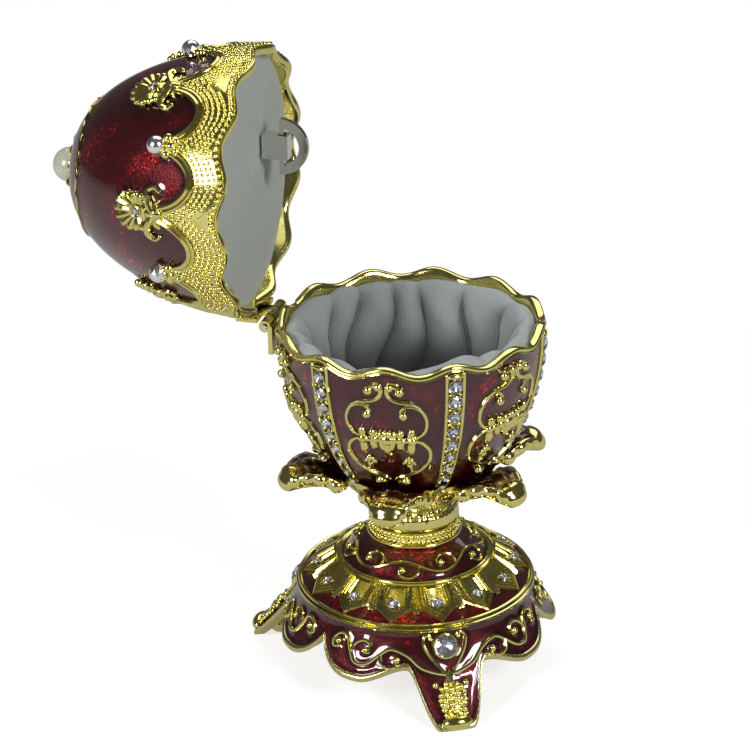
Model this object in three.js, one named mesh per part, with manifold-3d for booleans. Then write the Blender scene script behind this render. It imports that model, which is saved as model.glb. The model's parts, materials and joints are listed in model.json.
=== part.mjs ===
// A jewelled egg trinket box, lid open, on a stand with three feet. Millimetres, +Z up.
import * as THREE from 'three';
import { mergeVertices } from 'three/addons/utils/BufferGeometryUtils.js';
import Module from 'manifold-3d';

const wasm = await Module();
wasm.setup();

// Driving dimensions of the egg.
const gap = 0.3;              // clearance between pieces that touch
const eggRadius = 25.6;       // widest outside radius of cup and lid
const wall = 1.4;             // thickness of the cast cup and lid
const rimHeight = 71.5;       // parting line above the floor
const cupDepth = 36.6;        // half height of the ellipse that the cup is cut from
const lidHeight = 37.3;       // parting line to the top of the lid
const waveCount = 12;         // waves round the rim
const waveHeight = 0.8;       // crest above the mean rim
const waveFade = 5;           // the waves die out this far from the rim
const beadRise = 0.25;        // how far the rim bead stands out from the wall
const bandCount = 6;          // jewelled ribs on the cup
const bandHalf = 3.6;         // half width of a rib, degrees
const bandRise = 0.45;        // how far a rib stands out
const patternTurn = 2.5;      // degrees from the hinge line to the rib beside it

// Hinge.
const hingeX = -27.4;         // axis, from the egg's own axis
const hingeDrop = 1.7;        // axis below the parting line
const openAngle = 88.7;       // how far the lid has turned back, degrees
const knuckleRadius = 1.2;
const pinRadius = 0.5;
const pinHoleRadius = 0.6;
const knuckleLength = 3.6;
const leafHeight = 4.2;       // hinge plate, along the egg's wall
const leafThickness = 0.9;

// Stand.
const skirtTop = 16.7;        // height of the rim round the stand's upper face
const skirtTopRadius = 23.05;
const skirtFlare = 0.182;
const skirtPower = 1.45;
const footCount = 3;
const footTurn = -62.8;       // direction of the first foot, degrees from +X
const toeHalf = 5;            // the toe is flat this far each side, degrees
const archAngle = 17.5;       // highest point between foot and lobe
const archHeight = 9.5;
const lobeAngle = 38;         // lowest point of a lobe
const lobeHeight = 6.9;
const notchAngle = 60;        // cusp between two lobes
const notchHeight = 11.9;
const skirtWall = 2.4;        // measured level, across the edge
const innerRingRadius = 15;
const innerRingHeight = 21.9;
const standTop = 26.4;
const plaqueCount = 14;

// Neck, leaves, fittings.
const leafCount = 6;
const neckSides = 24;
const pearlRadius = 3.4;
const pearlHeight = 40;       // pearl's centre above the parting line
const feltRecess = 2;         // lid lining, inside the lid's edge
const feltThickness = 1.6;
const ringRadius = 5.6;       // steel half ring inside the lid
const ringWidth = 1.8;
const ringThickness = 1.2;
const ringPlace = [4.8, 7.2]; // half ring on the lid lining, from the lid's axis
const ringDrop = 3.3;         // its bar hangs this far below the lining
const footStoneRadius = 2.1;
const crystalRadius = 1.75;
const shellStoneRadius = 0.8;
const plaqueStoneRadius = 0.95;

const gold = { color: 0xc9b23a, roughness: 0.22, metalness: 1 };
const enamel = { color: 0x74101a, roughness: 0.15, metalness: 0.6 };
const cloth = { color: 0x8c9491, roughness: 0.95, metalness: 0 };
const steel = { color: 0xb9bcbb, roughness: 0.25, metalness: 1 };
const crystal = { color: 0xe8eef2, roughness: 0.03, metalness: 0 };
const nacre = { color: 0xe3dcc2, roughness: 0.25, metalness: 0 };

const cosDeg = (deg) => Math.cos(THREE.MathUtils.degToRad(deg));
const sinDeg = (deg) => Math.sin(THREE.MathUtils.degToRad(deg));
const polar = (radius, deg, height) => [radius * cosDeg(deg), radius * sinDeg(deg), height];
const smooth = (from, to, x) => THREE.MathUtils.smoothstep(x, from, to);
const around = (count) => Array.from({ length: count }, (_, k) => (360 * k) / count);

// Signed distance in degrees from the nearest of `count` marks that start at `first`.
function offMark(deg, first, count) {
  const pitch = 360 / count;
  const turns = (deg - first) / pitch;
  return (turns - Math.round(turns)) * pitch;
}

// Indexed geometry with outward faces from points and triangles; flat triangles are left out.
function closedGeometry(points, faces) {
  const loose = new THREE.BufferGeometry();
  loose.setAttribute('position', new THREE.Float32BufferAttribute(points.flat(), 3));
  loose.setIndex(faces.flat());
  const geometry = mergeVertices(loose, 1e-3);
  const index = geometry.getIndex().array;
  const kept = [];
  for (let k = 0; k < index.length; k += 3) {
    const [a, b, c] = index.slice(k, k + 3);
    if (a !== b && b !== c && c !== a) kept.push(a, b, c);
  }
  geometry.setIndex(signedVolume(geometry, kept) < 0 ? kept.reverse() : kept);
  return geometry;
}

function signedVolume(geometry, index) {
  const place = geometry.getAttribute('position');
  const [a, b, c] = [new THREE.Vector3(), new THREE.Vector3(), new THREE.Vector3()];
  let volume = 0;
  for (let k = 0; k < index.length; k += 3) {
    a.fromBufferAttribute(place, index[k]);
    b.fromBufferAttribute(place, index[k + 1]);
    c.fromBufferAttribute(place, index[k + 2]);
    volume += a.dot(b.cross(c)) / 6;
  }
  return volume;
}

// Skin between closed loops of points; `ends` says whether it closes on itself or gets two caps.
function skin(loops, ends) {
  const points = loops.flat();
  const size = loops[0].length;
  const faces = [];
  const spans = ends === 'round' ? loops.length : loops.length - 1;
  for (let k = 0; k < spans; k += 1) {
    const here = k * size;
    const next = ((k + 1) % loops.length) * size;
    for (let i = 0; i < size; i += 1) {
      const j = (i + 1) % size;
      faces.push([here + i, next + i, next + j], [here + i, next + j, here + j]);
    }
  }
  if (ends === 'capped') {
    const last = (loops.length - 1) * size;
    for (let i = 1; i < size - 1; i += 1) {
      faces.push([0, i, i + 1], [last, last + i + 1, last + i]);
    }
  }
  return closedGeometry(points, faces);
}

// Solid turned about the egg's axis: outline(deg) lists its [radius, height] points in order.
function turned(outline, angles) {
  return skin(angles.map((deg) => outline(deg).map(([r, z]) => polar(r, deg, z))), 'round');
}

function toManifold(geometry) {
  const bare = geometry.clone();
  bare.deleteAttribute('normal');
  bare.deleteAttribute('uv');
  const merged = mergeVertices(bare, 1e-4);
  return new wasm.Manifold(new wasm.Mesh({
    numProp: 3,
    vertProperties: new Float32Array(merged.getAttribute('position').array),
    triVerts: new Uint32Array(merged.getIndex().array),
  }));
}

function fromManifold(solid) {
  const { vertProperties, triVerts } = solid.getMesh();
  const geometry = new THREE.BufferGeometry();
  geometry.setAttribute('position', new THREE.BufferAttribute(vertProperties, 3));
  geometry.setIndex(new THREE.BufferAttribute(triVerts, 1));
  return geometry;
}

function box(low, high) {
  const size = high.map((value, k) => value - low[k]);
  const geometry = new THREE.BoxGeometry(...size);
  return geometry.translate(...low.map((value, k) => value + size[k] / 2));
}

// Round bar along Y.
function bar(radius, from, to, x, z) {
  const geometry = new THREE.CylinderGeometry(radius, radius, to - from, 12);
  return geometry.translate(x, (from + to) / 2, z);
}

function named(name, geometry, finish) {
  const mesh = new THREE.Mesh(geometry, new THREE.MeshStandardMaterial(finish));
  mesh.name = name;
  return mesh;
}

// Egg shape.
const cupRadiusAt = (depth) => eggRadius * Math.sqrt(Math.max(1 - (depth / cupDepth) ** 2, 0));
const lidFullness = { rise: 1.66, spread: 2.46 };

function lidRadiusAt(height) {
  const share = 1 - (height / lidHeight) ** lidFullness.rise;
  return eggRadius * Math.max(share, 0) ** (1 / lidFullness.spread);
}

const rimWave = (deg) => waveHeight * cosDeg(waveCount * (deg - 180 - patternTurn));

// Extra radius where a jewelled rib runs down the cup; the hinge plate takes one rib's top.
function ribRise(deg) {
  const offHinge = Math.abs(offMark(deg, 180, 1));
  const onRib = Math.abs(offMark(deg, 180 + patternTurn, bandCount)) <= bandHalf;
  return onRib && offHinge > 30 ? bandRise : 0;
}

// Directions round the egg: each rib's two edges, and the crests, slopes and dips between ribs.
function eggAngles() {
  const edge = 0.6;
  const perBand = [-bandHalf - edge, -bandHalf, bandHalf, bandHalf + edge, 15, 22.5, 30, 37.5, 45];
  const turns = around(bandCount).flatMap((first) => perBand.map((step) => first + step));
  return turns.map((deg) => deg + 180 + patternTurn);
}

function cup() {
  const outerDepths = [34.5, 31, 26, 19, 11, 3.5];
  const innerDepths = [3.5, 12, 21, 29, 33];
  const outline = (deg) => {
    const wave = rimWave(deg) - gap / 2;
    const rise = ribRise(deg);
    const drop = (depth) => rimHeight - depth + wave * (1 - smooth(0, waveFade, depth));
    const outside = outerDepths.map((depth) => [cupRadiusAt(depth) + rise, drop(depth)]);
    const inside = innerDepths.map((depth) => [
      cupRadiusAt(depth) - wall * (1 + (depth / cupDepth) ** 4), drop(depth) + (depth > 30 ? wall : 0)]);
    const rim = [
      [eggRadius + beadRise, drop(1.1)],
      [eggRadius - 0.1, drop(0)],
      [eggRadius - wall, drop(0.1)],
    ];
    const floor = rimHeight - cupDepth;
    return [[0, floor], ...outside, ...rim, ...inside, [0, floor + 2.4 * wall]];
  };
  return named('cup', turned(outline, eggAngles()), enamel);
}

function cupLining() {
  const outerDepths = [27.5, 21, 14, 7, 2.6];
  const floor = rimHeight - 31;
  const outside = outerDepths.map((depth) => [
    cupRadiusAt(depth) - wall * (1 + (depth / cupDepth) ** 4) - 3 * gap, rimHeight - depth]);
  const mouth = [[22.6, rimHeight - 1.2], [20.8, rimHeight - 1.4]];
  const hollow = [[18.2, 64.5], [15, 58], [10.5, 52], [5, 49]];
  const profile = [[0, floor], ...outside, ...mouth, ...hollow, [0, 48.3]];
  return named('cup_lining', turned(() => profile, around(24)), cloth);
}

function lid() {
  const outerHeights = [3.5, 11, 18, 25, 30.5, 34.8];
  const innerHeights = [32, 25, 14, 3.5];
  const dishCentre = rimHeight + pearlHeight;
  const dishRadius = pearlRadius + gap;
  const dish = [55, 30].map((tilt) => [dishRadius * cosDeg(tilt), dishCentre - dishRadius * sinDeg(tilt)]);
  const outline = (deg) => {
    const wave = rimWave(deg) + gap / 2;
    const lift = (height) => rimHeight + height + wave * (1 - smooth(0, waveFade, height));
    const outside = outerHeights.map((height) => [lidRadiusAt(height), lift(height)]);
    const inside = innerHeights.map((height) => [lidRadiusAt(height) - wall * (height > 30 ? 2.2 : 1), lift(height)]);
    const rim = [
      [eggRadius - wall, lift(0.1)],
      [eggRadius - 0.1, lift(0)],
      [eggRadius + beadRise, lift(1.1)],
    ];
    return [
      [0, dishCentre - dishRadius], ...dish, [4.2, rimHeight + lidHeight + 1.1],
      ...outside.reverse(), ...rim.reverse(), ...inside.reverse(), [0, rimHeight + lidHeight - 2.6],
    ];
  };
  return named('lid', turned(outline, eggAngles()), enamel);
}

function lidLining() {
  const low = rimHeight + feltRecess;
  const high = low + feltThickness;
  const edge = eggRadius - wall - 2 * gap;
  const profile = [[0, low], [edge - 0.4, low], [edge, low + 0.5], [edge - 0.2, high], [0, high]];
  return named('lid_lining', turned(() => profile, around(24)), cloth);
}

function pearl() {
  const geometry = new THREE.SphereGeometry(pearlRadius, 14, 9);
  geometry.rotateX(Math.PI / 2);
  return named('pearl', geometry.translate(0, 0, rimHeight + pearlHeight), nacre);
}

// Steel half ring with its straight bar, hanging from the lid lining.
function halfRing() {
  const outline = new THREE.Shape();
  outline.absarc(0, 0, ringRadius, Math.PI, 2 * Math.PI, false);
  outline.closePath();
  const eye = new THREE.Path();
  const barAngle = Math.asin(ringWidth / 2 / (ringRadius - ringWidth));
  eye.absarc(0, 0, ringRadius - ringWidth, Math.PI + barAngle, 2 * Math.PI - barAngle, false);
  outline.holes.push(eye);
  const geometry = new THREE.ExtrudeGeometry(outline, {
    depth: ringThickness, bevelEnabled: false, curveSegments: 12,
  });
  geometry.translate(0, 0, -ringThickness / 2);
  geometry.rotateX(Math.PI / 2);
  geometry.translate(ringPlace[0], ringPlace[1], rimHeight + feltRecess - gap - ringDrop);
  return named('half_ring', geometry, steel);
}

// Folded strap that holds the half ring's bar to the lining.
function ringTab() {
  const [x, y] = ringPlace;
  const top = rimHeight + feltRecess - gap;
  const half = { x: 2.4, y: ringThickness / 2 + gap + 0.5 };
  const bar = top - ringDrop;
  const block = box([x - half.x, y - half.y, bar - ringWidth / 2 - 0.9], [x + half.x, y + half.y, top]);
  const slotHalf = ringThickness / 2 + gap;
  const slot = box([x - 4, y - slotHalf, bar - ringWidth / 2 - gap], [x + 4, y + slotHalf, bar + gap]);
  return named('ring_tab', fromManifold(toManifold(block).subtract(toManifold(slot))), steel);
}

// Faceted stone with its flat table facing along `normal`, clear of the seat at `place`.
function stone(name, place, normal, radius, height, sides) {
  const profile = [[0, 0], [radius, 0], [radius * 0.62, height], [0, height]];
  const points = profile.map(([r, z]) => new THREE.Vector2(r, z));
  const geometry = new THREE.LatheGeometry(points, sides);
  const aim = new THREE.Quaternion();
  aim.setFromUnitVectors(new THREE.Vector3(0, 1, 0), normal.clone().normalize());
  geometry.applyQuaternion(aim);
  const seat = place.clone().addScaledVector(normal.clone().normalize(), gap);
  return named(name, geometry.translate(seat.x, seat.y, seat.z), crystal);
}

// Outward direction of a turned surface whose radius follows `radiusAt` over height.
function surfaceNormal(radiusAt, height, deg) {
  const step = 0.2;
  const slope = (radiusAt(height + step) - radiusAt(height - step)) / (2 * step);
  return new THREE.Vector3(cosDeg(deg), sinDeg(deg), -slope);
}

// Twelve stones on the lid: large crystals on the rib lines, small ones in the shells between.
function lidStones() {
  const crystalHeight = 13.2;
  const shellHeight = 17.2;
  return around(bandCount).flatMap((turn, k) => {
    const onRib = 180 + patternTurn + turn;
    const between = onRib + 180 / bandCount;
    const seat = (height, deg) => new THREE.Vector3(...polar(lidRadiusAt(height), deg, rimHeight + height));
    const aim = (height, deg) => surfaceNormal(lidRadiusAt, height, deg);
    return [
      stone(`lid_crystal_${k + 1}`, seat(crystalHeight, onRib), aim(crystalHeight, onRib), crystalRadius, 1.3, 8),
      stone(`shell_stone_${k + 1}`, seat(shellHeight, between), aim(shellHeight, between), shellStoneRadius, 0.6, 6),
    ];
  });
}

// Hinge plate on the egg's wall with its knuckles; `side` is 1 for the lid and -1 for the cup.
function hingeLeaf(name, side, spans) {
  const axis = rimHeight - hingeDrop;
  const back = -(eggRadius + beadRise + 0.1);
  const width = knuckleLength * 1.5 + gap;
  const near = axis + side * (knuckleRadius + gap);
  const far = near + side * leafHeight;
  const plate = (from, to, z1, z2) => toManifold(
    box([back - leafThickness, from, Math.min(z1, z2)], [back, to, Math.max(z1, z2)]));
  let leaf = plate(-width, width, near, far);
  let hole = toManifold(bar(pinHoleRadius, -width - 1, width + 1, hingeX, axis));
  for (const [from, to] of spans) {
    leaf = leaf.add(plate(from, to, axis, near + side * 0.5));
    leaf = leaf.add(toManifold(bar(knuckleRadius, from, to, hingeX, axis)));
  }
  return named(name, fromManifold(leaf.subtract(hole)), gold);
}

function hinge() {
  const mid = knuckleLength / 2;
  const end = knuckleLength * 1.5 + gap;
  const side = mid + gap;
  return {
    onCup: hingeLeaf('hinge_leaf_cup', -1, [[-end, -side], [side, end]]),
    onLid: hingeLeaf('hinge_leaf_lid', 1, [[-mid, mid]]),
    pin: named('hinge_pin', bar(pinRadius, -end - 0.5, end + 0.5, hingeX, rimHeight - hingeDrop), steel),
  };
}

// One calyx leaf: a curved tongue with scalloped edges that ends in a drooping bulb.
function calyxLeaf(deg) {
  const stations = [
    { r: 15.5, z: 40.4, half: 4.3, thick: 0.5 },
    { r: 17.0, z: 42.0, half: 6.4, thick: 0.8 },
    { r: 18.6, z: 42.8, half: 5.2, thick: 0.7 },
    { r: 20.0, z: 43.2, half: 5.5, thick: 0.8 },
    { r: 21.6, z: 43.4, half: 4.0, thick: 0.8 },
    { r: 23.2, z: 43.3, half: 3.5, thick: 1.0 },
    { r: 25.0, z: 42.6, half: 3.6, thick: 1.4 },
    { r: 26.4, z: 41.7, half: 2.8, thick: 1.4 },
    { r: 27.2, z: 41.0, half: 1.2, thick: 0.8 },
  ];
  const edgeDrop = 0.8;
  const sides = 6;
  const loops = stations.map(({ r, z, half, thick }) => around(sides).map((turn) => {
    const across = half * cosDeg(turn);
    const height = z + thick * sinDeg(turn) - edgeDrop * cosDeg(turn) ** 2;
    return [r * cosDeg(deg) - across * sinDeg(deg), r * sinDeg(deg) + across * cosDeg(deg), height];
  }));
  return skin(loops, 'capped');
}

// Neck with its moulded rings and the calyx that holds the cup, cast as one.
function calyxStem() {
  const foot = standTop + gap;
  const bowl = [30.2, 32.5, 34.6].map((depth) => [
    cupRadiusAt(depth) + bandRise + gap, rimHeight - depth - gap / 2]);
  const profile = [
    [0, foot], [8.9, foot], [8.9, foot + 0.8], [8.5, foot + 0.9], [8.8, foot + 1.5], [8.4, foot + 2],
    [8.7, foot + 2.6], [7.9, foot + 3.1], [8.6, foot + 3.6], [8.7, foot + 4.5], [8.2, foot + 6],
    [6.9, foot + 8], [7.4, foot + 8.8], [10.6, foot + 10.2], [13.6, foot + 12], [15.9, foot + 14.1],
    ...bowl, [0, rimHeight - cupDepth - 2 * gap],
  ];
  let stem = toManifold(turned(() => profile, around(neckSides)));
  for (const turn of around(leafCount)) {
    stem = stem.add(toManifold(calyxLeaf(turn + 180 + patternTurn + 180 / leafCount)));
  }
  return named('calyx_stem', fromManifold(stem.simplify(0.02)), gold);
}

// Radius of the flared skirt's outside at a height.
const skirtRadius = (height) => skirtTopRadius + skirtFlare * Math.max(skirtTop - height, 0) ** skirtPower;

// Height of the skirt's lower edge: flat toe, arch, round lobe, cusp.
function skirtEdge(deg) {
  const off = Math.abs(offMark(deg, footTurn, footCount));
  if (off <= archAngle) return archHeight * smooth(toeHalf, archAngle, off);
  if (off <= lobeAngle) {
    return archHeight - (archHeight - lobeHeight) * smooth(archAngle, lobeAngle, off);
  }
  const share = (off - lobeAngle) / (notchAngle - lobeAngle);
  return lobeHeight + (notchHeight - lobeHeight) * share ** 3;
}

// Stand: three-footed skirt, stepped upper face and dome, one hollow casting.
function stand() {
  const shares = [0, 0.2, 0.45, 0.75];
  const outline = (deg) => {
    const edge = skirtEdge(deg);
    const level = (share) => edge + (skirtTop - 1 - edge) * share;
    const outside = shares.map((share) => [skirtRadius(level(share)), level(share)]);
    const inside = shares.map((share) => [skirtRadius(level(share)) - skirtWall, level(share)]);
    return [
      ...outside,
      [skirtTopRadius, skirtTop], [skirtTopRadius - 0.3, skirtTop + 0.7], [skirtTopRadius - 1, skirtTop + 0.4],
      [innerRingRadius + 0.6, innerRingHeight - 0.5], [innerRingRadius, innerRingHeight + 0.3],
      [innerRingRadius - 0.6, innerRingHeight], [12.2, 24.4], [9.6, standTop], [0, standTop],
      [0, 24.4], [8.4, 24], [13, 20.6], [skirtTopRadius - 2.6, skirtTop - 1.6],
      ...inside.reverse(),
    ];
  };
  const steps = [0, 5, 7.5, 10, 13, 17.5, 25, 32, 38, 47, 54];
  const offsets = [...steps.slice(1).reverse().map((step) => -step), ...steps, notchAngle];
  const angles = around(footCount).flatMap((foot) => offsets.map((step) => footTurn + foot + step));
  return named('stand', turned(outline, angles), enamel);
}

// Stones on the stand: one over each foot, and one in each plaque of the upper face.
function standStones() {
  const footStoneHeight = 13.4;
  const feet = around(footCount).map((turn, k) => {
    const deg = footTurn + turn;
    const place = new THREE.Vector3(...polar(skirtRadius(footStoneHeight), deg, footStoneHeight));
    const normal = surfaceNormal(skirtRadius, footStoneHeight, deg);
    return stone(`foot_stone_${k + 1}`, place, normal, footStoneRadius, 1.2, 8);
  });
  const run = skirtTopRadius - innerRingRadius - 1.6;
  const rise = innerRingHeight - skirtTop - 0.9;
  const share = 0.42;
  const plaques = around(plaqueCount).map((turn, k) => {
    const deg = footTurn + turn;
    const radius = innerRingRadius + 0.6 + run * share;
    const height = innerRingHeight - 0.5 - rise * share;
    const normal = new THREE.Vector3(rise * cosDeg(deg), rise * sinDeg(deg), run);
    const place = new THREE.Vector3(...polar(radius, deg, height));
    return stone(`plaque_stone_${k + 1}`, place, normal, plaqueStoneRadius, 0.7, 6);
  });
  return [...feet, ...plaques];
}

// The lid's pieces are made closed, then turned back together about the hinge.
function openLid(pieces) {
  const swing = new THREE.Group();
  swing.position.set(hingeX, 0, rimHeight - hingeDrop);
  swing.rotation.y = -THREE.MathUtils.degToRad(openAngle);
  const closed = new THREE.Group();
  closed.position.copy(swing.position).negate();
  closed.add(...pieces);
  swing.add(closed);
  return swing;
}

// The whole box stands with its origin under the middle of its outline.
function eggBox() {
  const { onCup, onLid, pin } = hinge();
  const egg = new THREE.Group();
  egg.add(stand(), calyxStem(), cup(), cupLining(), onCup, pin, ...standStones());
  egg.add(openLid([lid(), lidLining(), pearl(), halfRing(), ringTab(), onLid, ...lidStones()]));
  egg.updateMatrixWorld(true);
  const outer = new THREE.Box3().setFromObject(egg, true);
  const middle = outer.getCenter(new THREE.Vector3());
  egg.position.set(-middle.x, -middle.y, -outer.min.z);
  const part = new THREE.Group();
  part.add(egg);
  return part;
}

export default eggBox();
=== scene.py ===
# %% [markdown]
# # A jewelled egg trinket box
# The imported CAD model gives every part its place. It is loaded first and never changed. Each enamelled or
# jewelled part then gets a fine mesh of its own that stands for the plain CAD solid.

# %% Load the frame
import json
import math

import bmesh
import bpy
import numpy as np
from mathutils import Matrix, kdtree


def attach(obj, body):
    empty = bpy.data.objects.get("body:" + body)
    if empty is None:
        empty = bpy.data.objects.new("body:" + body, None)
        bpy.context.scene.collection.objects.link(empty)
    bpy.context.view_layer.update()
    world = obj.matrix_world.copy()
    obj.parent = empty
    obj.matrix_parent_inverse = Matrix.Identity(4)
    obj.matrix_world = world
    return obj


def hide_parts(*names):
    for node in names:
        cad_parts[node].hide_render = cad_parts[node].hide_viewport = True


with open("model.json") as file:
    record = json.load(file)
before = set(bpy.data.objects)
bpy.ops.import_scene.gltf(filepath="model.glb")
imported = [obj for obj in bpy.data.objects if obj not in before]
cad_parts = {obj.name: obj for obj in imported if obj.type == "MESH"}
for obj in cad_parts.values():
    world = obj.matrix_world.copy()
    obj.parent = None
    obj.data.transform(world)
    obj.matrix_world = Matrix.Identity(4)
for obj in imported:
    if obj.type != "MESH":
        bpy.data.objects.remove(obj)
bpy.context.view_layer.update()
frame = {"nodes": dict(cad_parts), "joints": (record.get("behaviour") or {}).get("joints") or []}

# %% [markdown]
# The egg is a turned shape, so everything is easiest to draw about its own axis, in millimetres, with the lid
# shut. One function moves finished points to the frame, and lid pieces are first swung back on the hinge. The
# hinge stands 27.4 mm behind the axis, which fixes the axis from the joint's own position.

# %% Axis, hinge and the open lid
lid_joint = frame["joints"][0]
HINGE_BACK = 27.4
HINGE = np.array([-HINGE_BACK, 0.0, lid_joint["pos_m"][2] * 1000])
AXIS = np.array([lid_joint["pos_m"][0] * 1000 + HINGE_BACK, lid_joint["pos_m"][1] * 1000, 0.0])
OPEN = math.radians(lid_joint["range_deg"][1])
rng = np.random.default_rng(11)


def to_frame(points, body):
    """Millimetres about the egg's axis, lid shut, to metres in the frame, lid open."""
    p = np.array(points, float)
    if body == "lid":
        q = p - HINGE
        c, s = math.cos(OPEN), -math.sin(OPEN)
        p = np.stack([q[:, 0] * c + q[:, 2] * s, q[:, 1], -q[:, 0] * s + q[:, 2] * c], 1) + HINGE
    return (p + AXIS) / 1000


print("egg axis at", AXIS.round(3), "lid opened by", round(math.degrees(OPEN), 1))

# %% [markdown]
# Cast and applied ornament is many small shapes: wires, grains, petals and stones. `Bits` gathers them as
# plain arrays and makes one mesh of them at the end, which is far quicker than one object for each grain.

# %% Gather small shapes into one mesh
class Bits:
    def __init__(self):
        self.points, self.faces, self.slots, self.tone, self.uv = [], [], [], [], None
        self.count = 0

    def add(self, points, faces, slot=0, tone=0.0):
        points = np.asarray(points, float).reshape(-1, 3)
        faces = np.asarray(faces)
        self.points.append(points)
        self.faces.append(faces + self.count)
        self.slots.append(np.full(len(faces), slot))
        self.tone.append(np.broadcast_to(tone, len(points)).astype(float))
        self.count += len(points)

    def build(self, name, body, slot, materials, crease=40.0, stands_for=()):
        points = to_frame(np.vstack(self.points), body)
        sizes = np.concatenate([np.full(len(f), f.shape[1]) for f in self.faces])
        corners = np.concatenate([f.ravel() for f in self.faces])
        mesh = bpy.data.meshes.new(name)
        mesh.vertices.add(len(points))
        mesh.vertices.foreach_set("co", points.ravel())
        mesh.loops.add(len(corners))
        mesh.loops.foreach_set("vertex_index", corners)
        mesh.polygons.add(len(sizes))
        mesh.polygons.foreach_set("loop_start", np.concatenate([[0], np.cumsum(sizes)[:-1]]))
        mesh.polygons.foreach_set("loop_total", sizes)
        mesh.polygons.foreach_set("material_index", np.concatenate(self.slots))
        mesh.update()
        mesh.validate()
        # Stored per point: the enamel's darker pooling by the wires, the leaves' fade to gold, and the
        # painted shade of the knit lining.
        tone = mesh.attributes.new("tone", "FLOAT", "POINT")
        tone.data.foreach_set("value", np.concatenate(self.tone))
        if self.uv is not None:
            mesh.uv_layers.new(name="cloth").data.foreach_set("uv", self.uv[corners].ravel())
        mesh.shade_smooth()
        mesh.set_sharp_from_angle(angle=math.radians(crease))
        piece = bpy.data.objects.new(name, mesh)
        bpy.context.scene.collection.objects.link(piece)
        for material in materials:
            mesh.materials.append(material)
        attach(piece, body)
        if stands_for:
            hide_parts(*stands_for)
        print(f"{name}: {int((sizes - 2).sum())} triangles")
        return piece


def lattice(rows, columns, wrap=False):
    """Four-sided faces of a grid of rows by columns; wrap joins the last column to the first."""
    across = columns if wrap else columns - 1
    i, j = np.meshgrid(np.arange(rows - 1), np.arange(across), indexing="ij")
    k = (j + 1) % columns
    corners = (i * columns + j, i * columns + k, (i + 1) * columns + k, (i + 1) * columns + j)
    return np.stack(corners, -1).reshape(-1, 4)


def unit(v):
    return v / np.maximum(np.linalg.norm(v, axis=-1, keepdims=True), 1e-9)


# %% [markdown]
# A turned surface is an outline swung about the axis. Knowing the outline's length as well as its height lets
# ornament be laid out in true millimetres, as a jeweller marks out a pattern on the shell with dividers. The
# lip of cup and lid is waved, and `wave` lets that ripple fade into the body over five millimetres.

# %% Turned surfaces
def ease(x):
    x = np.clip(x, 0, 1)
    return x * x * (3 - 2 * x)


def placed(x, y, z, origin):
    """A matrix with these three axes as its columns."""
    rows = [[*row, c] for row, c in zip(np.stack([x, y, z], 1), origin)]
    return Matrix(rows + [[0, 0, 0, 1]])


class Turned:
    def __init__(self, outline, waved=0.0):
        self.line = np.asarray(outline, float)
        self.s = np.concatenate([[0], np.cumsum(np.linalg.norm(np.diff(self.line, axis=0), axis=1))])
        self.t = unit(np.gradient(self.line, self.s, axis=0))
        self.n = np.stack([-self.t[:, 1], self.t[:, 0]], 1)
        if self.n[:, 0].mean() < 0:
            self.n = -self.n
        self.waved = waved

    def look(self, table, s):
        return np.stack([np.interp(s, self.s, table[:, k]) for k in (0, 1)], -1)

    def radius(self, s):
        return np.interp(s, self.s, self.line[:, 0])

    def at(self, deg, s, out=0.0):
        deg, s, out = np.broadcast_arrays(np.asarray(deg, float), np.asarray(s, float), out)
        p = self.look(self.line, s) + self.look(self.n, s) * out[..., None]
        a = np.radians(deg)
        z = p[..., 1] + self.waved * np.cos(12 * np.radians(deg - 182.5)) * ease(1 - s / 5)
        return np.stack([p[..., 0] * np.cos(a), p[..., 0] * np.sin(a), z], -1)

    def panel(self, centre, u, s, out=0.0):
        """Points u millimetres to the side of the line at centre degrees."""
        return self.at(centre + np.degrees(np.asarray(u) / self.radius(s)), s, out)

    def axes(self, deg, s):
        """Three directions at each point, as rows: sideways, along the outline, outward."""
        deg, s = np.broadcast_arrays(np.asarray(deg, float), np.asarray(s, float))
        a, t, n = np.radians(deg), self.look(self.t, s), self.look(self.n, s)
        side = np.stack([-np.sin(a), np.cos(a), 0 * a], -1)
        along = np.stack([t[..., 0] * np.cos(a), t[..., 0] * np.sin(a), t[..., 1]], -1)
        out = np.stack([n[..., 0] * np.cos(a), n[..., 0] * np.sin(a), n[..., 1]], -1)
        return np.stack([side, along, out], -2)


depth = np.linspace(0.15, 36.4, 500)
CUP = Turned(np.stack([25.6 * np.sqrt(1 - (depth / 36.6) ** 2), 71.5 - depth], 1), waved=0.8)
height = 37.25 * (1 - (1 - np.linspace(0.004, 1, 600)) ** 2.0)
LID = Turned(np.stack([25.6 * (1 - (height / 37.3) ** 1.66) ** (1 / 2.46), 71.5 + height], 1), waved=0.8)
RIBS = 182.5 + 60 * np.arange(6)
PANELS = RIBS + 30
print("cup outline", round(CUP.s[-1], 1), "mm, lid outline", round(LID.s[-1], 1), "mm")

# %% [markdown]
# Wires are drawn by a few control points on the surface (sideways, along, thickness), smoothed, and swept as
# round tubes that sit half sunk in the metal. The points they pass are kept, because poured enamel creeps up
# every wire it meets, and the enamel meshes look those points up later.

# %% Curves, wires and grains
def curve(points, steps=8):
    p = np.asarray(points, float)
    p = np.vstack([2 * p[0] - p[1], p, 2 * p[-1] - p[-2]])
    t = np.linspace(0, 1, steps, endpoint=False)[:, None]
    spans = [0.5 * (2 * b + (c - a) * t + (2 * a - 5 * b + 4 * c - d) * t**2 + (3 * b - a - 3 * c + d) * t**3)
             for a, b, c, d in zip(p[:-3], p[1:-2], p[2:-1], p[3:])]
    return np.vstack([*spans, p[-2][None]])


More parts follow.
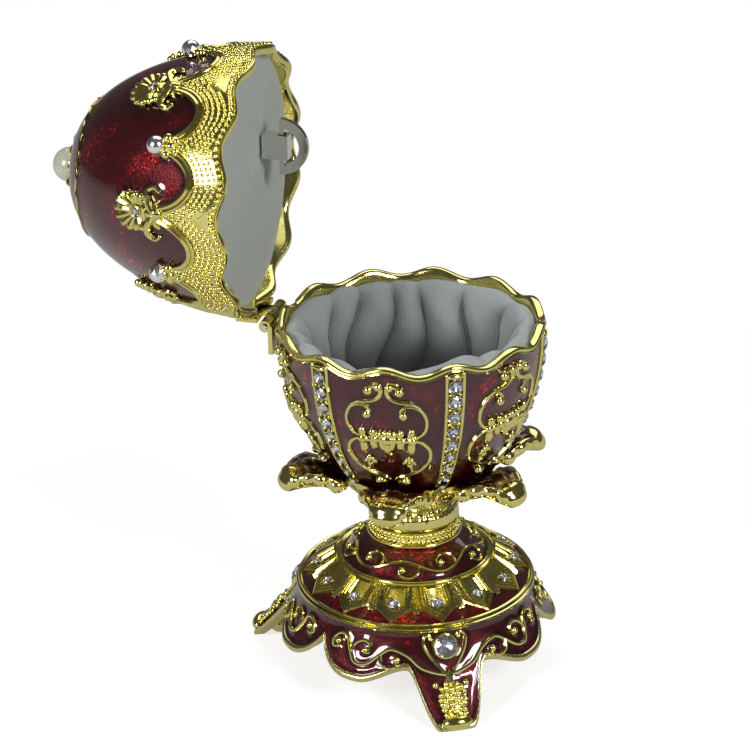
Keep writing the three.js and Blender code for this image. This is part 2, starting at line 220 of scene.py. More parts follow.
def tube(bits, path, normal, radius, sides=8, slot=0, closed=False):
    path, normal = np.asarray(path, float), np.asarray(normal, float)
    radius = np.broadcast_to(radius, len(path)).astype(float)
    if closed:
        along = unit(np.roll(path, -1, 0) - np.roll(path, 1, 0))
    else:
        along = unit(np.gradient(path, axis=0))
        lead, cap = np.sin(np.radians([88, 60, 30])), np.cos(np.radians([88, 60, 30]))
        path = np.vstack([path[0] - along[0] * radius[0] * lead[:, None], path,
                          path[-1] + along[-1] * radius[-1] * lead[::-1, None]])
        radius = np.concatenate([radius[0] * cap, radius, radius[-1] * cap[::-1]])
        along = np.vstack([along[:1].repeat(3, 0), along, along[-1:].repeat(3, 0)])
        normal = np.vstack([normal[:1].repeat(3, 0), normal, normal[-1:].repeat(3, 0)])
    normal = unit(normal - along * (along * normal).sum(1, keepdims=True))
    side = np.cross(along, normal)
    a = np.linspace(0, 2 * np.pi, sides, endpoint=False)
    ring = path[:, None] + radius[:, None, None] * (
        np.cos(a)[None, :, None] * normal[:, None] + np.sin(a)[None, :, None] * side[:, None])
    rows = len(path)
    if closed:
        ring = np.concatenate([ring, ring[:1]])
        rows += 1
    bits.add(ring, lattice(rows, sides, wrap=True), slot)


def hull(points):
    bm = bmesh.new()
    for p in points:
        bm.verts.new(p)
    bmesh.ops.convex_hull(bm, input=bm.verts)
    bmesh.ops.triangulate(bm, faces=bm.faces)
    bm.verts.ensure_lookup_table()
    shape = np.array([v.co for v in bm.verts]), np.array([[v.index for v in f.verts] for f in bm.faces])
    bm.free()
    return shape


def grain_shape(fineness):
    bm = bmesh.new()
    bmesh.ops.create_icosphere(bm, subdivisions=fineness, radius=1)
    shape = np.array([v.co for v in bm.verts]), np.array([[v.index for v in f.verts] for f in bm.faces])
    bm.free()
    return shape


GRAIN, BALL = grain_shape(2), grain_shape(3)
buried = GRAIN[0][GRAIN[1]][..., 2].max(1) < -0.4
GRAIN = GRAIN[0], GRAIN[1][~buried]


def set_down(bits, shape, centres, axes, sizes, slot=0):
    """Copies of one shape, each at its own centre, along its own three axes and of its own three sizes."""
    centres = np.asarray(centres, float).reshape(-1, 3)
    axes = np.broadcast_to(axes, (len(centres), 3, 3))
    sizes = np.asarray(sizes, float)
    if sizes.ndim < 2:
        sizes = np.broadcast_to(sizes.reshape(-1, 1) if sizes.ndim == 1 else sizes, (len(centres), 3))
    points = centres[:, None] + np.einsum("kj,nj,njl->nkl", shape[0], sizes, axes)
    faces = shape[1][None] + (np.arange(len(centres)) * len(shape[0]))[:, None, None]
    bits.add(points, faces.reshape(-1, shape[1].shape[1]), slot)


class Wires(Bits):
    """Bits that also remember where their wires touch the surface."""

    def __init__(self):
        super().__init__()
        self.trace = []

    def draw(self, surface, centre, controls, mirror=False, sides=8, sink=0.3, steps=8):
        c = curve(controls, steps)
        for sign in ((1, -1) if mirror else (1,)):
            deg = centre + np.degrees(sign * c[:, 0] / surface.radius(c[:, 1]))
            path = surface.at(deg, c[:, 1], c[:, 2] * sink)
            tube(self, path, surface.axes(deg, c[:, 1])[:, 2], c[:, 2], sides)
            self.trace.append(np.column_stack([surface.at(deg, c[:, 1]), c[:, 2]]))

    def drop(self, surface, centre, u, s, size, turn=0.0, lift=0.35, shape=GRAIN, mirror=False):
        """One rounded petal or ball: size is across, along and high, turn is degrees."""
        size = np.broadcast_to(size, 3)
        for sign in ((1, -1) if mirror else (1,)):
            deg = centre + np.degrees(sign * u / surface.radius(s))
            axes = surface.axes(deg, s)
            a = math.radians(turn * sign)
            across = axes[0] * math.cos(a) + axes[1] * math.sin(a)
            along = axes[1] * math.cos(a) - axes[0] * math.sin(a)
            turned = np.stack([across, along, axes[2]])
            set_down(self, shape, surface.at(deg, s, size[2] * lift), turned, size[None])
            self.trace.append(np.append(surface.at(deg, s), min(size[:2]))[None])


# %% [markdown]
# Poured enamel is glass over textured metal. It lies a little below the wires, climbs each one in a small
# curve, and pools darker there. The mesh follows that: every point looks up the nearest wire, and the same
# distance is stored as `tone`, which the enamel's finish reads as depth of colour.

# %% Enamel that creeps up its wires
def enamel_sheet(bits, surface, deg, s, wires, depth=0.16, slot=0):
    flat = surface.at(deg, s, 0.0)
    rows, columns = flat.shape[:2]
    flat = flat.reshape(-1, 3)
    normal = surface.axes(deg, s)[..., 2, :].reshape(-1, 3)
    marks = np.vstack([w for group in wires for w in group])
    tree = kdtree.KDTree(len(marks))
    for i, p in enumerate(marks[:, :3]):
        tree.insert(p, i)
    tree.balance()
    near = np.empty(len(flat))
    for i, p in enumerate(flat):
        _, k, d = tree.find(p)
        near[i] = d - marks[k, 3]
    creep = np.exp(-((np.maximum(near, 0) / 0.55) ** 1.5))
    bits.add(flat + normal * (depth * (creep - 1))[:, None], lattice(rows, columns), slot,
             np.exp(-np.maximum(near, 0) / 1.3))


# %% [markdown]
# Three shader groups are shared by the finishes. `polish wear` breaks up a polished metal's roughness and
# surface with very fine marks. `foil sparkle` is the crinkled bright metal under the enamel: small cells that
# each tilt their own way. `rib knit` is the stitch pattern of the lining, with a painted shade that darkens
# the valleys between stitches.

# %% Shared shader groups
def group(name, inputs, outputs):
    tree = bpy.data.node_groups.new(name, "ShaderNodeTree")
    for label, default in inputs.items():
        socket = tree.interface.new_socket(label, in_out="INPUT", socket_type="NodeSocketFloat")
        socket.default_value = default
    for label, kind in outputs.items():
        tree.interface.new_socket(label, in_out="OUTPUT", socket_type=f"NodeSocket{kind}")
    return tree, tree.nodes.new("NodeGroupInput"), tree.nodes.new("NodeGroupOutput")


def node(tree, kind, values=None, links=None, **settings):
    made = tree.nodes.new(f"ShaderNode{kind}")
    for key, value in settings.items():
        setattr(made, key, value)
    for key, value in (values or {}).items():
        made.inputs[key].default_value = value
    for key, source in (links or {}).items():
        tree.links.new(source, made.inputs[key])
    return made


wear, given, result = group("polish wear", {"Scale": 900.0, "Low": 0.08, "High": 0.22},
                            {"Roughness": "Float", "Height": "Float"})
place = node(wear, "TexCoord").outputs["Object"]
blotch = node(wear, "TexNoise", {"Detail": 5.0, "Roughness": 0.65},
              {"Vector": place, "Scale": given.outputs["Scale"]})
spread = node(wear, "MapRange", {"From Min": 0.35, "From Max": 0.65},
              {"Value": blotch.outputs["Fac"], "To Min": given.outputs["Low"],
               "To Max": given.outputs["High"]})
wear.links.new(spread.outputs["Result"], result.inputs["Roughness"])
wear.links.new(blotch.outputs["Fac"], result.inputs["Height"])

foil, given, result = group("foil sparkle", {"Scale": 1500.0},
                            {"Flake": "Float", "Height": "Float", "Cloud": "Float"})
place = node(foil, "TexCoord").outputs["Object"]
cells = node(foil, "TexVoronoi", None, {"Vector": place, "Scale": given.outputs["Scale"]})
flake = node(foil, "SeparateColor", None, {"Color": cells.outputs["Color"]})
crinkle = node(foil, "TexNoise", {"Detail": 2.0}, {"Vector": place, "Scale": given.outputs["Scale"]})
cloud = node(foil, "TexNoise", {"Scale": 130.0, "Detail": 2.0}, {"Vector": place})
both = node(foil, "Math", None, {0: crinkle.outputs["Fac"], 1: flake.outputs["Green"]}, operation="ADD")
foil.links.new(flake.outputs["Red"], result.inputs["Flake"])
foil.links.new(both.outputs["Value"], result.inputs["Height"])
foil.links.new(cloud.outputs["Fac"], result.inputs["Cloud"])

knit, given, result = group("rib knit", {"Rib": 1.0, "Stitch": 1.0}, {"Height": "Float", "Shade": "Float"})
place = node(knit, "UVMap", uv_map="cloth").outputs["UV"]
split = node(knit, "SeparateXYZ", None, {"Vector": place})
lines = node(knit, "Math", None, {0: split.outputs["X"], 1: given.outputs["Rib"]}, operation="MULTIPLY")
ridge = node(knit, "Math", None, {0: lines.outputs["Value"]}, operation="SINE")
vee = node(knit, "Math", None, {0: ridge.outputs["Value"]}, operation="ABSOLUTE")
course = node(knit, "Math", None, {0: split.outputs["Y"], 1: given.outputs["Stitch"]}, operation="MULTIPLY")
slant = node(knit, "Math", None, {0: course.outputs["Value"], 1: vee.outputs["Value"]}, operation="ADD")
stitch = node(knit, "Math", None, {0: slant.outputs["Value"]}, operation="SINE")
small = node(knit, "Math", {1: 0.2}, {0: stitch.outputs["Value"]}, operation="MULTIPLY")
weave = node(knit, "Math", None, {0: vee.outputs["Value"], 1: small.outputs["Value"]}, operation="ADD")
# Painted shade: the colour share follows the stitch height, so the valleys are painted darker than the ribs.
shade = node(knit, "MapRange", {"From Min": -0.35, "From Max": 1.2, "To Min": 0.0, "To Max": 1.0},
             {"Value": weave.outputs["Value"]})
knit.links.new(weave.outputs["Value"], result.inputs["Height"])
knit.links.new(shade.outputs["Result"], result.inputs["Shade"])


def finish(name, **plain):
    """A Principled material with its uniform numbers set straight on the shader."""
    material = bpy.data.materials.new(name)
    material.use_nodes = True
    tree = material.node_tree
    shader = tree.nodes["Principled BSDF"]
    for key, value in plain.items():
        shader.inputs[key.replace("_", " ")].default_value = value
    return material, tree, shader


def use(tree, shared, **values):
    made = tree.nodes.new("ShaderNodeGroup")
    made.node_tree = shared
    for key, value in values.items():
        made.inputs[key].default_value = value
    return made


def bump(tree, shader, height, strength, distance):
    made = node(tree, "Bump", {"Strength": strength, "Distance": distance}, {"Height": height})
    tree.links.new(made.outputs["Normal"], shader.inputs["Normal"])


def metal(name, colour, dull, low, high, scale=900.0, strength=0.05):
    """Plated metal: two near shades, fine polish marks and a little unevenness."""
    material, tree, shader = finish(name, Metallic=1.0)
    marks = use(tree, wear, Scale=scale, Low=low, High=high)
    tint = node(tree, "Mix", {"A": (*dull, 1), "B": (*colour, 1)},
                {"Factor": marks.outputs["Height"]}, data_type="RGBA")
    tree.links.new(tint.outputs["Result"], shader.inputs["Base Color"])
    tree.links.new(marks.outputs["Roughness"], shader.inputs["Roughness"])
    bump(tree, shader, marks.outputs["Height"], strength, 0.0003)
    return material


gold = metal("polished_gold", (0.90, 0.82, 0.31), (0.72, 0.64, 0.20), 0.08, 0.18)
satin_gold = metal("satin_gold", (0.78, 0.71, 0.34), (0.60, 0.53, 0.22), 0.20, 0.32, 1500.0, 0.10)
steel = metal("bright_steel", (0.84, 0.83, 0.80), (0.72, 0.71, 0.68), 0.10, 0.18, 500.0, 0.02)
foil_back = metal("stone_foil", (0.97, 0.97, 1.0), (0.88, 0.88, 0.92), 0.16, 0.26)
print("shared groups and metals made")

# %% [markdown]
# Red enamel is a red metal base crinkled by `foil sparkle`, under a smooth clear coat. The base takes the
# bump, so small flakes flash deep inside, but only in the patches that `Cloud` lets through, and `tone`
# darkens the colour where it pools. The leaves carry a browner enamel that thins out to gold.

# %% Enamels
def enamel_finish(name, dark, mid, spark, pool, scale=1500.0, metallic=0.75):
    material, tree, shader = finish(name, Metallic=metallic, Roughness=0.30, Coat_Weight=1.0,
                                    Coat_Roughness=0.03, Coat_IOR=1.6)
    flakes = use(tree, foil, Scale=scale)
    base = node(tree, "Mix", {"A": (*dark, 1), "B": (*mid, 1)},
                {"Factor": flakes.outputs["Cloud"]}, data_type="RGBA")
    patch = node(tree, "MapRange", {"From Min": 0.50, "From Max": 0.70}, {"Value": flakes.outputs["Cloud"]})
    bright = node(tree, "MapRange", {"From Min": 0.74, "From Max": 0.95}, {"Value": flakes.outputs["Flake"]})
    lit = node(tree, "Math", None, {0: bright.outputs["Result"], 1: patch.outputs["Result"]},
               operation="MULTIPLY")
    sparkle = node(tree, "Mix", {"B": (*spark, 1)},
                   {"Factor": lit.outputs["Value"], "A": base.outputs["Result"]}, data_type="RGBA")
    pooled = node(tree, "Attribute", attribute_name="tone")
    share = node(tree, "MapRange", {"From Min": 0.1, "From Max": 1.0, "To Max": 0.85},
                 {"Value": pooled.outputs["Fac"]})
    final = node(tree, "Mix", {"B": (*pool, 1)},
                 {"Factor": share.outputs["Result"], "A": sparkle.outputs["Result"]}, data_type="RGBA")
    tree.links.new(final.outputs["Result"], shader.inputs["Base Color"])
    bump(tree, shader, flakes.outputs["Height"], 0.5, 0.0002)
    return material


red = enamel_finish("red_enamel", (0.045, 0.0009, 0.002), (0.14, 0.002, 0.006), (1.0, 0.012, 0.022),
                    (0.016, 0.0006, 0.0015), scale=2700.0)

leaf_red, tree, shader = finish("leaf_enamel", Metallic=0.9, Roughness=0.25, Coat_Weight=1.0,
                                Coat_Roughness=0.05)
pooled = node(tree, "Attribute", attribute_name="tone")
ramp = node(tree, "ValToRGB", None, {"Fac": pooled.outputs["Fac"]})
ramp.color_ramp.elements[0].color = (0.050, 0.006, 0.004, 1)
ramp.color_ramp.elements[1].color = (0.80, 0.66, 0.16, 1)
ramp.color_ramp.elements.new(0.5).color = (0.16, 0.05, 0.012, 1)
mottle = use(tree, wear, Scale=700.0, Low=0.2, High=0.3)
tree.links.new(ramp.outputs["Color"], shader.inputs["Base Color"])
tree.links.new(mottle.outputs["Roughness"], shader.inputs["Roughness"])
bump(tree, shader, mottle.outputs["Height"], 0.15, 0.0003)

# %% [markdown]
# Stones are clear glass with a mirror foil behind, which is how cheap brilliants get their flash. The pearl
# is a coated bead: a warm, slightly mottled body under a soft skin and a clear one. The lining is a grey
# knit, the lid's lining a flat felt; both scatter light softly, so both get sheen and a bumpy pile. The
# knit's colour also carries painted shade: darker in its folds and in its depth, where little light gets in.

# %% Stones, pearl and cloth
crystal, tree, shader = finish("clear_stone", Transmission_Weight=1.0, IOR=1.56, Roughness=0.0,
                               Base_Color=(0.96, 0.97, 1.0, 1))
scuff = use(tree, wear, Scale=1200.0, Low=0.0, High=0.03)
tree.links.new(scuff.outputs["Roughness"], shader.inputs["Roughness"])

nacre, tree, shader = finish("pearl_skin", Coat_Weight=1.0, Coat_Roughness=0.06, Sheen_Weight=0.35,
                             Specular_IOR_Level=0.7)
bloom = use(tree, wear, Scale=260.0, Low=0.22, High=0.34)
tint = node(tree, "Mix", {"A": (0.50, 0.50, 0.37, 1), "B": (0.66, 0.65, 0.52, 1)},
            {"Factor": bloom.outputs["Height"]}, data_type="RGBA")
tree.links.new(tint.outputs["Result"], shader.inputs["Base Color"])
tree.links.new(bloom.outputs["Roughness"], shader.inputs["Roughness"])

lining, tree, shader = finish("grey_knit", Roughness=0.95, Sheen_Weight=0.25, Specular_IOR_Level=0.15)
stitches = use(tree, knit, Rib=6.3, Stitch=15.0)
fuzz = node(tree, "TexNoise", {"Scale": 1800.0, "Detail": 4.0},
            {"Vector": node(tree, "TexCoord").outputs["Object"]})
# Painted shade of the stitches: darker in their valleys, lighter on the ribs.
tint = node(tree, "Mix", {"A": (0.29, 0.315, 0.315, 1), "B": (0.35, 0.38, 0.375, 1)},
            {"Factor": stitches.outputs["Shade"]}, data_type="RGBA")
# Painted shade: the knit's colour is mixed towards near-black in its fold valleys and deep in the bag.
shaded = node(tree, "Mix", {"B": (0.035, 0.037, 0.034, 1)},
              {"Factor": node(tree, "Attribute", attribute_name="tone").outputs["Fac"],
               "A": tint.outputs["Result"]}, data_type="RGBA")
tree.links.new(shaded.outputs["Result"], shader.inputs["Base Color"])
pile = node(tree, "Math", None, {0: stitches.outputs["Height"], 1: fuzz.outputs["Fac"]}, operation="ADD")
bump(tree, shader, pile.outputs["Value"], 0.5, 0.0002)

felt, tree, shader = finish("grey_felt", Roughness=1.0, Sheen_Weight=0.2, Specular_IOR_Level=0.1)
fibre = node(tree, "TexNoise", {"Scale": 1500.0, "Detail": 6.0, "Roughness": 0.7},
             {"Vector": node(tree, "TexCoord").outputs["Object"]})
tint = node(tree, "Mix", {"A": (0.29, 0.31, 0.29, 1), "B": (0.42, 0.45, 0.42, 1)},
            {"Factor": fibre.outputs["Fac"]}, data_type="RGBA")
tree.links.new(tint.outputs["Result"], shader.inputs["Base Color"])
bump(tree, shader, fibre.outputs["Fac"], 0.35, 0.0003)
print("finishes made:", [m.name for m in bpy.data.materials if not m.name.startswith("Mat")][:12])

# %% [markdown]
# A brilliant is the hull of a few rings of points: a flat table, a crown of small facets, a thin girdle and a
# pointed back. The foil is a plain cone a hair behind that back.

# %% One brilliant, and how it is set
def ring_of(count, radius, height, offset=0.0):
    a = np.radians(np.arange(count) * 360 / count + offset)
    return np.stack([radius * np.cos(a), radius * np.sin(a), np.full(count, height)], 1)


STONE = hull(np.vstack([ring_of(8, 0.52, 0.36), ring_of(8, 0.80, 0.23, 22.5), ring_of(16, 1.0, 0.06, 11.25),
                        ring_of(16, 1.0, -0.02, 11.25), ring_of(8, 0.5, -0.21, 22.5), [[0, 0, -0.34]]]))
FOIL = (np.vstack([ring_of(16, 1.05, 0.0), [[0, 0, -0.40]]]),
        np.array([[i, (i + 1) % 16, 16] for i in range(16)]))


def set_stones(stone_bits, surface, deg, s, radius, lift=0.35):
    deg, s, radius = (np.atleast_1d(x).astype(float) for x in np.broadcast_arrays(deg, s, radius))
    axes = surface.axes(deg, s)
    turn = rng.uniform(0, 2 * np.pi, len(deg))[:, None]
    x = axes[:, 0] * np.cos(turn) + axes[:, 1] * np.sin(turn)
    axes = np.stack([x, np.cross(axes[:, 2], x), axes[:, 2]], 1)
    centres = surface.at(deg, s, lift)
    set_down(stone_bits, STONE, centres, axes, radius, 0)
    set_down(stone_bits, FOIL, centres, axes, radius, 1)


# %% [markdown]
# ## The cup
# Six gold bands of nine stones divide the cup into six enamelled panels. Each band is a flat strip between
# two raised edges that close in towards the bottom, with a pair of grains between neighbouring stones.

# %% Stone bands
cup_gold, cup_stones = Wires(), Bits()
stone_line = np.array([3.5, 6.6, 9.9, 13.3, 16.4, 19.6, 22.9, 26.3, 29.2])
stone_size = np.linspace(1.36, 0.92, 9)
half = 3.75
for deg in RIBS:
    first = 8.4 if abs(deg - 182.5) < 1 else 1.5
    s = np.linspace(first, 34.5, 90)
    across = np.linspace(-half, half, 7)
    s2, d2 = np.meshgrid(s, across + deg, indexing="ij")
    cup_gold.add(CUP.at(d2, s2, -0.16), lattice(90, 7))
    for sign in (-1, 1):
        rim_deg = np.full(90, deg + sign * half)
        tube(cup_gold, CUP.at(rim_deg, s, 0.10), CUP.axes(rim_deg, s)[:, 2], np.linspace(0.34, 0.26, 90))
        cup_gold.trace.append(np.column_stack([CUP.at(rim_deg, s), np.full(90, 0.3)]))
    keep = stone_line > first + 0.8
    set_stones(cup_stones, CUP, deg, stone_line[keep], stone_size[keep], 0.42)
    between = (stone_line[1:] + stone_line[:-1]) / 2
    for k, b in enumerate(between):
        if b > first:
            cup_gold.drop(CUP, deg, 1.0 - 0.03 * k, b, (0.34, 0.34, 0.4), lift=0.4, mirror=True)
    if first < 2:
        cup_gold.drop(CUP, deg, 0.0, 1.9, (1.7, 0.55, 0.55), lift=0.4)

# %% [markdown]
# The lip is one rounded bead with a fine second line below it. Seen from inside, a strip of gold wall shows
# between the bead and the lining. One grid of rows turned about the axis gives all of it, and it rides the
# same twelve waves as the lid's edge, so the two close together.

# %% Rippled lip and inner wall
turn = np.linspace(0, 360, 720, endpoint=False)
ripple = 0.8 * np.cos(12 * np.radians(turn - 182.5))


def lip(bits, edge, direction, inner, waves=ripple):
    """Rows of (radius, distance back from the edge, share of the wave), drawn in behind the hinge."""
    rows = np.array(inner)
    near_hinge = ease((16 - np.abs(turn - 180)) / 3)
    spread = rows[:, 0][:, None] - np.maximum(rows[:, 0] - 25.2, 0)[:, None] * near_hinge[None]
    z = edge + direction * rows[:, 1][:, None] + rows[:, 2][:, None] * waves[None]
    a = np.radians(turn)
    points = np.stack([spread * np.cos(a), spread * np.sin(a), z], -1)
    bits.add(points, lattice(len(rows), len(turn), wrap=True))


LIP = [(22.0, 7.0, 0), (23.3, 4.5, .1), (23.75, 2.5, .5), (23.95, 1.1, .9), (24.15, .35, 1), (24.45, .06, 1),
       (24.8, -.02, 1), (25.2, .02, 1), (25.6, .1, 1), (25.86, .28, 1), (25.94, .54, 1), (25.86, .8, 1),
       (25.68, .95, 1), (25.62, 1.02, 1), (25.72, 1.1, 1), (25.78, 1.22, 1), (25.7, 1.34, 1),
       (25.45, 1.46, .95)]
lip(cup_gold, 71.35, -1, LIP)
cup_gold.trace.append(np.column_stack([CUP.at(turn, 1.3), np.full(720, 0.2)]))

# %% [markdown]
# Each panel carries a scrolled frame of wire: two curls at the top, an upper and a lower C-scroll on each
# side, a bar of small cast flowers across the middle and a bud inside each lower scroll. Only the right half
# is drawn; the left is its mirror image.

# %% Panel scrolls
for deg in PANELS:
    for control in (
        [(2.9, 3.7, .6), (2.3, 2.9, .55), (1.2, 2.8, .62), (.55, 3.7, .5), (1.0, 4.9, .5), (2.5, 5.8, .46),
         (4.6, 6.2, .42), (6.6, 7.3, .25)],
        [(3.3, 8.9, .5), (3.0, 8.0, .38), (3.7, 7.1, .36), (5.1, 6.9, .36), (6.7, 7.8, .36), (7.6, 9.9, .36),
         (7.4, 12.0, .36), (6.4, 13.5, .35), (4.9, 14.3, .3)],
        [(4.9, 14.9, .3), (6.6, 15.5, .38), (7.7, 17.3, .42), (7.5, 19.8, .42), (6.2, 22.0, .42),
         (4.4, 23.6, .42), (2.6, 24.8, .42), (1.2, 25.3, .42), (.65, 26.4, .46), (1.5, 27.1, .5),
         (2.6, 26.6, .56)],
        [(3.9, 22.9, .42), (3.75, 22.1, .45), (3.7, 21.4, .42)],
    ):
        cup_gold.draw(CUP, deg, control, mirror=True)
    cup_gold.drop(CUP, deg, 3.4, 8.8, 0.85, mirror=True, shape=BALL)
    cup_gold.drop(CUP, deg, 2.95, 3.7, 0.92, mirror=True, shape=BALL)
    cup_gold.drop(CUP, deg, 1.05, 3.1, 0.85, mirror=True, shape=BALL)
    cup_gold.drop(CUP, deg, 2.4, 26.3, 0.95, mirror=True, shape=BALL)
    for u, s, size, lean in (
        (4.6, 13.0, (.62, .95, .6), 10), (4.4, 16.4, (.68, 1.4, .7), 0), (4.7, 14.7, (.8, .7, .65), 0),
        (3.5, 14.5, (.9, .55, .6), -12), (2.6, 13.1, (.55, .8, .6), 20), (2.5, 15.7, (.62, 1.15, .6), 10),
        (1.9, 14.4, (.9, .7, .65), 8), (1.1, 13.2, (.85, .65, .65), 25), (.9, 15.9, (.5, 1.25, .6), 14),
        (3.7, 21.2, (.5, .7, .5), 0), (2.95, 20.2, (.34, .85, .45), 30), (3.7, 19.9, (.36, .95, .5), 0),
        (4.45, 20.3, (.34, .85, .45), -30),
    ):
        cup_gold.drop(CUP, deg, u, s, np.multiply(size, 1.25), lean, mirror=True)
    cup_gold.drop(CUP, deg, 0, 13.1, (.75, .7, .7))
    cup_gold.drop(CUP, deg, 0, 14.5, (1.5, 1.1, 1.0), shape=BALL)
    cup_gold.drop(CUP, deg, 0, 16.4, (.8, 1.7, .8))
cup_gold.build("cup_goldwork", "box", "gold", [gold])
cup_stones.build("cup_stones", "box", "crystal", [crystal, foil_back], crease=5)

# %% Panels of red enamel
cup_enamel = Bits()
for deg in PANELS:
    s, d = np.meshgrid(np.linspace(1.35, 35.5, 96), deg + np.linspace(-26.4, 26.4, 70), indexing="ij")
    enamel_sheet(cup_enamel, CUP, d, s, [cup_gold.trace])
s, d = np.meshgrid(np.linspace(1.35, 9, 20), 182.5 + np.linspace(-3.8, 3.8, 8), indexing="ij")
cup_enamel.add(CUP.at(d, s, -0.1), lattice(20, 8))
cup_enamel.build("cup_enamel", "box", "enamel", [red], stands_for=["cup"])

# %% [markdown]
# ## The stand
# A skirt flares into three feet with two lobes between neighbouring feet. One formula gives how high its edge
# hangs at any angle. Above it a shoulder carries fourteen stepped plaques, and a low dome rises to the neck.

# %% Skirt edge and outlines
FEET = -62.8 + 120 * np.arange(3)


def edge_height(deg):
    off = np.abs((deg + 62.8 + 60) % 120 - 60)
    foot = 9.5 * ease((off - 5) / 12.5)
    lobe = 9.5 - 2.6 * ease((off - 17.5) / 20.5)
    cusp = 6.9 + 5.0 * ((off - 38) / 22) ** 3
    return np.where(off < 17.5, foot, np.where(off < 38, lobe, cusp))


down = np.linspace(16.7, 0, 300)
SKIRT = Turned(np.stack([23.05 + 0.182 * (16.7 - down) ** 1.45, down], 1))
SHOULDER = Turned(np.array([22.35, 17.0]) + np.linspace(0, 1, 30)[:, None] * np.array([-6.75, 4.45]))
rise = np.linspace(0, 1, 80)
DOME = Turned(np.stack([14.5 - 6.3 * rise, 21.9 + 4.75 * rise + 0.7 * np.sin(np.pi * rise)], 1))


def skirt_s(z):
    return np.interp(-np.asarray(z), -SKIRT.line[:, 1], SKIRT.s)


print("skirt outline", round(SKIRT.s[-1], 1), "mm, widest radius", round(SKIRT.line[-1, 0], 1))

# %% [markdown]
# A running scroll is one waving stem with a tendril curling into each hollow of the wave, where it ends in a
# ball. On the dome the stem makes five full waves; the same idea, drawn from listed points, fills the skirt's
# lobes.

# %% Running scroll round the dome
stand_gold, stand_stones = Wires(), Bits()
angles = np.linspace(0, 360, 241)
wave = 3.15 + 1.25 * np.cos(np.radians(5 * (angles + 87)))
tube(stand_gold, DOME.at(angles, wave, 0.1), DOME.axes(angles, wave)[:, 2], 0.32)
stand_gold.trace.append(np.column_stack([DOME.at(angles, wave), np.full(241, 0.32)]))
CURL = [(3.1, -0.9), (3.0, 0.6), (1.9, 1.6), (0.4, 1.5), (-0.7, 0.6), (-0.4, -0.5)]
for i in range(10):
    inward = 1 if i % 2 == 0 else -1
    middle = 3.15 - 0.55 * inward
    stand_gold.draw(DOME, -87 + 36 * i, [(u, middle - inward * v, .3) for u, v in CURL], sides=7, steps=6)
    stand_gold.drop(DOME, -87 + 36 * i, 0, middle, 0.62, shape=BALL, lift=0.5)

# %% [markdown]
# Each foot has a stone in a plain bezel inside a lyre of wire. Below the point of the lyre a cast leaf of
# small nuggets runs down to the toe, with a ball on each side. The toe itself is a rounded gold boot.

